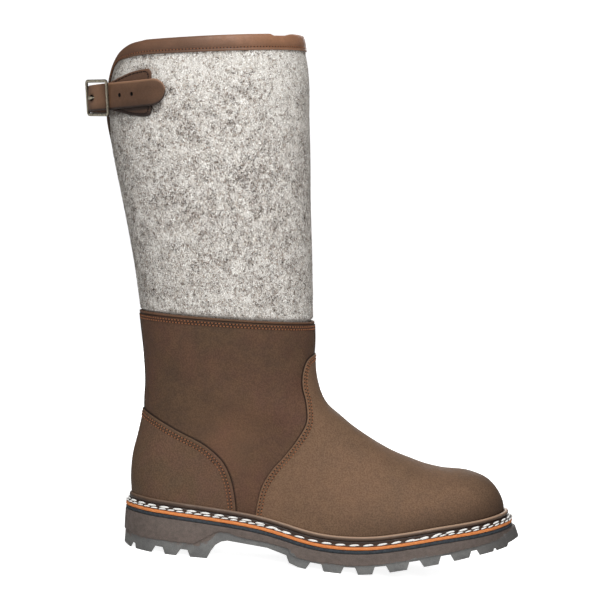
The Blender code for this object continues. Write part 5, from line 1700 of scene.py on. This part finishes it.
def paintedHighlightFace(count):  # painted highlight: bright where the bar faces out, the sides left dark
    return np.tile(np.clip(np.sin(barTurn), 0, 1) ** 4, count)


def buckleAxes(ends):  # the frame's run, rise and face, turned and leaning a little
    look, rise = buckleLook, buckleLook["height"] / 4
    inner, outer = (strapPoint(*end) for end in ends)
    along = unit(outer - inner)
    up = sum(strapPoint(*end, rise) - strapPoint(*end, -rise) for end in ends)
    up = unit(up - along * np.dot(up, along))
    along, up = unit(along - look["turn"] * up), unit(up + look["turn"] * along)
    face = unit(np.cross(along, up))
    up, face = unit(up + look["lean"] * face), unit(face - look["lean"] * up)
    return inner, np.linalg.norm(outer - inner), along, up, face


def makeBuckle():
    look, strap = buckleLook, strapLook
    onTop = strap["wall"] + look["barRadius"]
    bars = ((look["innerBar"], -look["barPress"]), (look["outerBar"], look["barGap"]))
    ends = [(bar, strapLift(bar) + onTop + gap) for bar, gap in bars]
    inner, width, along, up, face = buckleAxes(ends)
    corner, loop = look["corner"], []
    for right, top, start in ((1, 1, 0), (0, 1, 1), (0, 0, 2), (1, 0, 3)):
        for turn in np.linspace(0, math.pi / 2, look["cornerSteps"]):
            angle = start * math.pi / 2 + turn
            run = (width - corner if right else corner) + corner * math.cos(angle)
            lift = (look["height"] / 2 - corner) * (1 if top else -1) + corner * math.sin(angle)
            loop.append(inner + along * run + up * (lift + look["rise"]))
    loop = np.array(loop + loop[:1])
    marks = lengths(loop)
    loop = pointsAt(np.linspace(0, marks[-1], look["loopSteps"] + 1)[:-1], marks, loop)
    body = sweep(loop, face, look["barRadius"] * look["barWide"], look["barRadius"] * look["barThick"], True)
    faces = gridFaces(len(loop), len(barTurn), closeRows=True, closeCols=True)
    ring = addMesh("buckle_ring", body, faces, [brass], {"paintedHighlight": paintedHighlightFace(len(loop))})
    pointOut(ring)
    keep(ring, "buckle_frame", "buckle_frame")
    hole = strap["holes"]["at"][0] - look["prongBack"]
    rests = look["prongRests"] + tuple((share * look["prongReach"], above) for share, above in look["prongOver"])
    spine = np.array([
        strapPoint(hole + ahead, strapLift(hole + ahead) + strap["wall"] + above) for ahead, above in rests
    ])
    dense = np.linspace(0, 1, look["prongSteps"])
    mark = lengths(spine) / lengths(spine)[-1]
    line = np.stack([smooth(mark, spine[:, k], dense) for k in range(3)], -1)
    taper = look["prongRadius"] * (1 - look["prongTaper"] * np.clip((dense - 0.5) / 0.5, 0, 1))
    body = sweep(line, unit(np.cross(along, up)), taper * look["prongWide"], taper * look["barThick"], False)
    faces = tubeFaces(len(line), len(barTurn))
    prong = addMesh("buckle_tongue", body, faces, [brass], {"paintedHighlight": paintedHighlightFace(len(line))})
    pointOut(prong)
    return keep(prong, "buckle_prong", "buckle_prong")


makeOutsole()
rubberEnds = (layerLook["apart"], soleShape["rubberLayer"])
leatherEnds = (-soleShape["leatherLayer"], -layerLook["apart"])
makeLayer("rubber_layer", "rubber_midsole", blueRubber, rubberInset, *rubberEnds)
makeLayer("leather_layer", "leather_midsole", tanEdge, 0.0, *leatherEnds, layerLook["bulge"])
makeWelt()
makeWeltStitches()
print("sole done")
makeQuarter()
seamLines = makeOverlay("vamp_leather", "vamp", vampLook, vampNubuck)
seamLines += makeOverlay("counter_leather", "heel_counter", counterLook, counterNubuck)
addStitches("foot_stitches", seamLines, seamThread, brownThread, "upper")
addStitches("top_edge_stitches", topEdgeStitches(), seamThread, brownThread, "upper")
print("foot done")
makeFelt()
makeFibres("felt_flecks", fleckLook)
makeFibres("felt_hairs", hairLook)
collarThread = {**seamThread, "pitch": 2.6, "radius": 0.3}
addStitches("collar_stitches", [makeBinding()], collarThread, brownThread, "collar_binding")
makeStrap()
patchThread = {**seamThread, "pitch": 3.3, "length": 1.5, "radius": 0.62, "rise": 0.34}
addStitches("patch_stitches", [makePatch()], patchThread, darkThread, "strap_patch")
makeBuckle()
frame["nodes"]["insole"].data.materials.clear()
frame["nodes"]["insole"].data.materials.append(insoleBoard)
print("shaft done")


# Studio
studioLook = {
    "floorTone": (0.8, 0.8, 0.8, 1.0), "floorGlow": 0.9, "floorHalf": 4.0, "floorFront": 6.0,
    "sweepStart": 2.7, "sweepRadius": 0.9, "sweepSteps": 24, "wallTop": 3.0,
    "worldTone": (1.0, 1.0, 1.0, 1.0), "worldDim": (0.12, 0.12, 0.12, 1.0),
    "lights": {
        "key": {"at": (0.24, -1.75, 0.85), "aim": (0.0, 0.0, 0.2), "size": 0.8, "watts": 13.5},
        "left": {"at": (-1.3, -1.15, 0.7), "aim": (0.0, 0.0, 0.2), "size": 0.9, "watts": 3.0},
        "back": {"at": (0.1, 1.8, 0.9), "aim": (0.0, 0.0, 0.2), "size": 1.0, "watts": 16.0},
        "top": {"at": (0.05, -0.85, 1.35), "aim": (0.0, 0.0, 0.3), "size": 0.4, "watts": 12.6},
    },
}


def makeStage():
    look = studioLook
    plain = {"Base Color": look["floorTone"], "Emission Strength": look["floorGlow"]}
    tone, tree, shader = newMaterial("studio_floor", 0.1, **plain)
    feed(tree, shader.inputs["Emission Color"], put(tree, "ShaderNodeLightPath").outputs["Is Camera Ray"])
    grain = noise(tree, objectSpot(tree), 40.0)
    feed(tree, shader.inputs["Roughness"], ramp(tree, grain, 0.3, 0.7, 0.85, 0.95))
    turn = np.linspace(0, math.pi / 2, look["sweepSteps"])
    start, radius = look["sweepStart"], look["sweepRadius"]
    y = np.concatenate([[-look["floorFront"]], start + radius * np.sin(turn), [start + radius]])
    z = np.concatenate([[0.0], radius * (1 - np.cos(turn)), [look["wallTop"]]])
    points = [(x, a, b) for a, b in zip(y, z) for x in (-look["floorHalf"], look["floorHalf"])]
    mesh = bpy.data.meshes.new("studio_sweep")
    mesh.from_pydata(points, [], gridFaces(len(y), 2).tolist())
    mesh.shade_smooth()
    mesh.materials.append(tone)
    floor = bpy.data.objects.new("studio_sweep", mesh)
    bpy.context.scene.collection.objects.link(floor)


def makeLights():
    world = bpy.data.worlds.new("studio")
    bpy.context.scene.world = world
    world.use_nodes = True
    sky = world.node_tree.nodes["Background"]
    seen = put(world.node_tree, "ShaderNodeLightPath").outputs["Is Camera Ray"]
    tone = mixColour(world.node_tree, seen, studioLook["worldDim"], studioLook["worldTone"])
    feed(world.node_tree, sky.inputs["Color"], tone)
    for name, look in studioLook["lights"].items():
        lamp = bpy.data.lights.new(name, "AREA")
        lamp.energy = look["watts"]
        lamp.size = look["size"]
        light = bpy.data.objects.new(name, lamp)
        light.location = look["at"]
        way = np.array(look["aim"]) - np.array(look["at"])
        light.rotation_euler = Matrix(lookBasis(-unit(way), 0.0)).to_euler()
        bpy.context.scene.collection.objects.link(light)


def lookBasis(back, roll):
    right = unit(np.cross(-back, [0.0, 0.0, 1.0]))
    up = np.cross(right, -back)
    leanRight = right * math.cos(roll) + up * math.sin(roll)
    leanUp = up * math.cos(roll) - right * math.sin(roll)
    return np.stack([leanRight, leanUp, back], -1).tolist()


cameraLook = {
    "elevation": 3.0, "roll": 5.5, "distance": 1.75, "focalPixels": 2235.0, "imagePixels": 600.0, "sensor": 36.0,
    "aim": (119.3, 0.0, 203.5),
}


def makeCamera():
    look = cameraLook
    tilt = math.radians(look["elevation"])
    back = np.array([0.0, -math.cos(tilt), math.sin(tilt)])
    lens = bpy.data.cameras.new("photo_view")
    lens.sensor_width = look["sensor"]
    lens.lens = lens.sensor_width * look["focalPixels"] / look["imagePixels"]
    camera = bpy.data.objects.new("photo_view", lens)
    camera.location = toWorld(look["aim"]) + back * look["distance"]
    camera.rotation_euler = Matrix(lookBasis(back, math.radians(look["roll"]))).to_euler()
    bpy.context.scene.collection.objects.link(camera)
    bpy.context.scene.camera = camera


makeStage()
makeLights()
makeCamera()
bpy.context.scene.view_settings.view_transform = "Standard"
print("studio done")
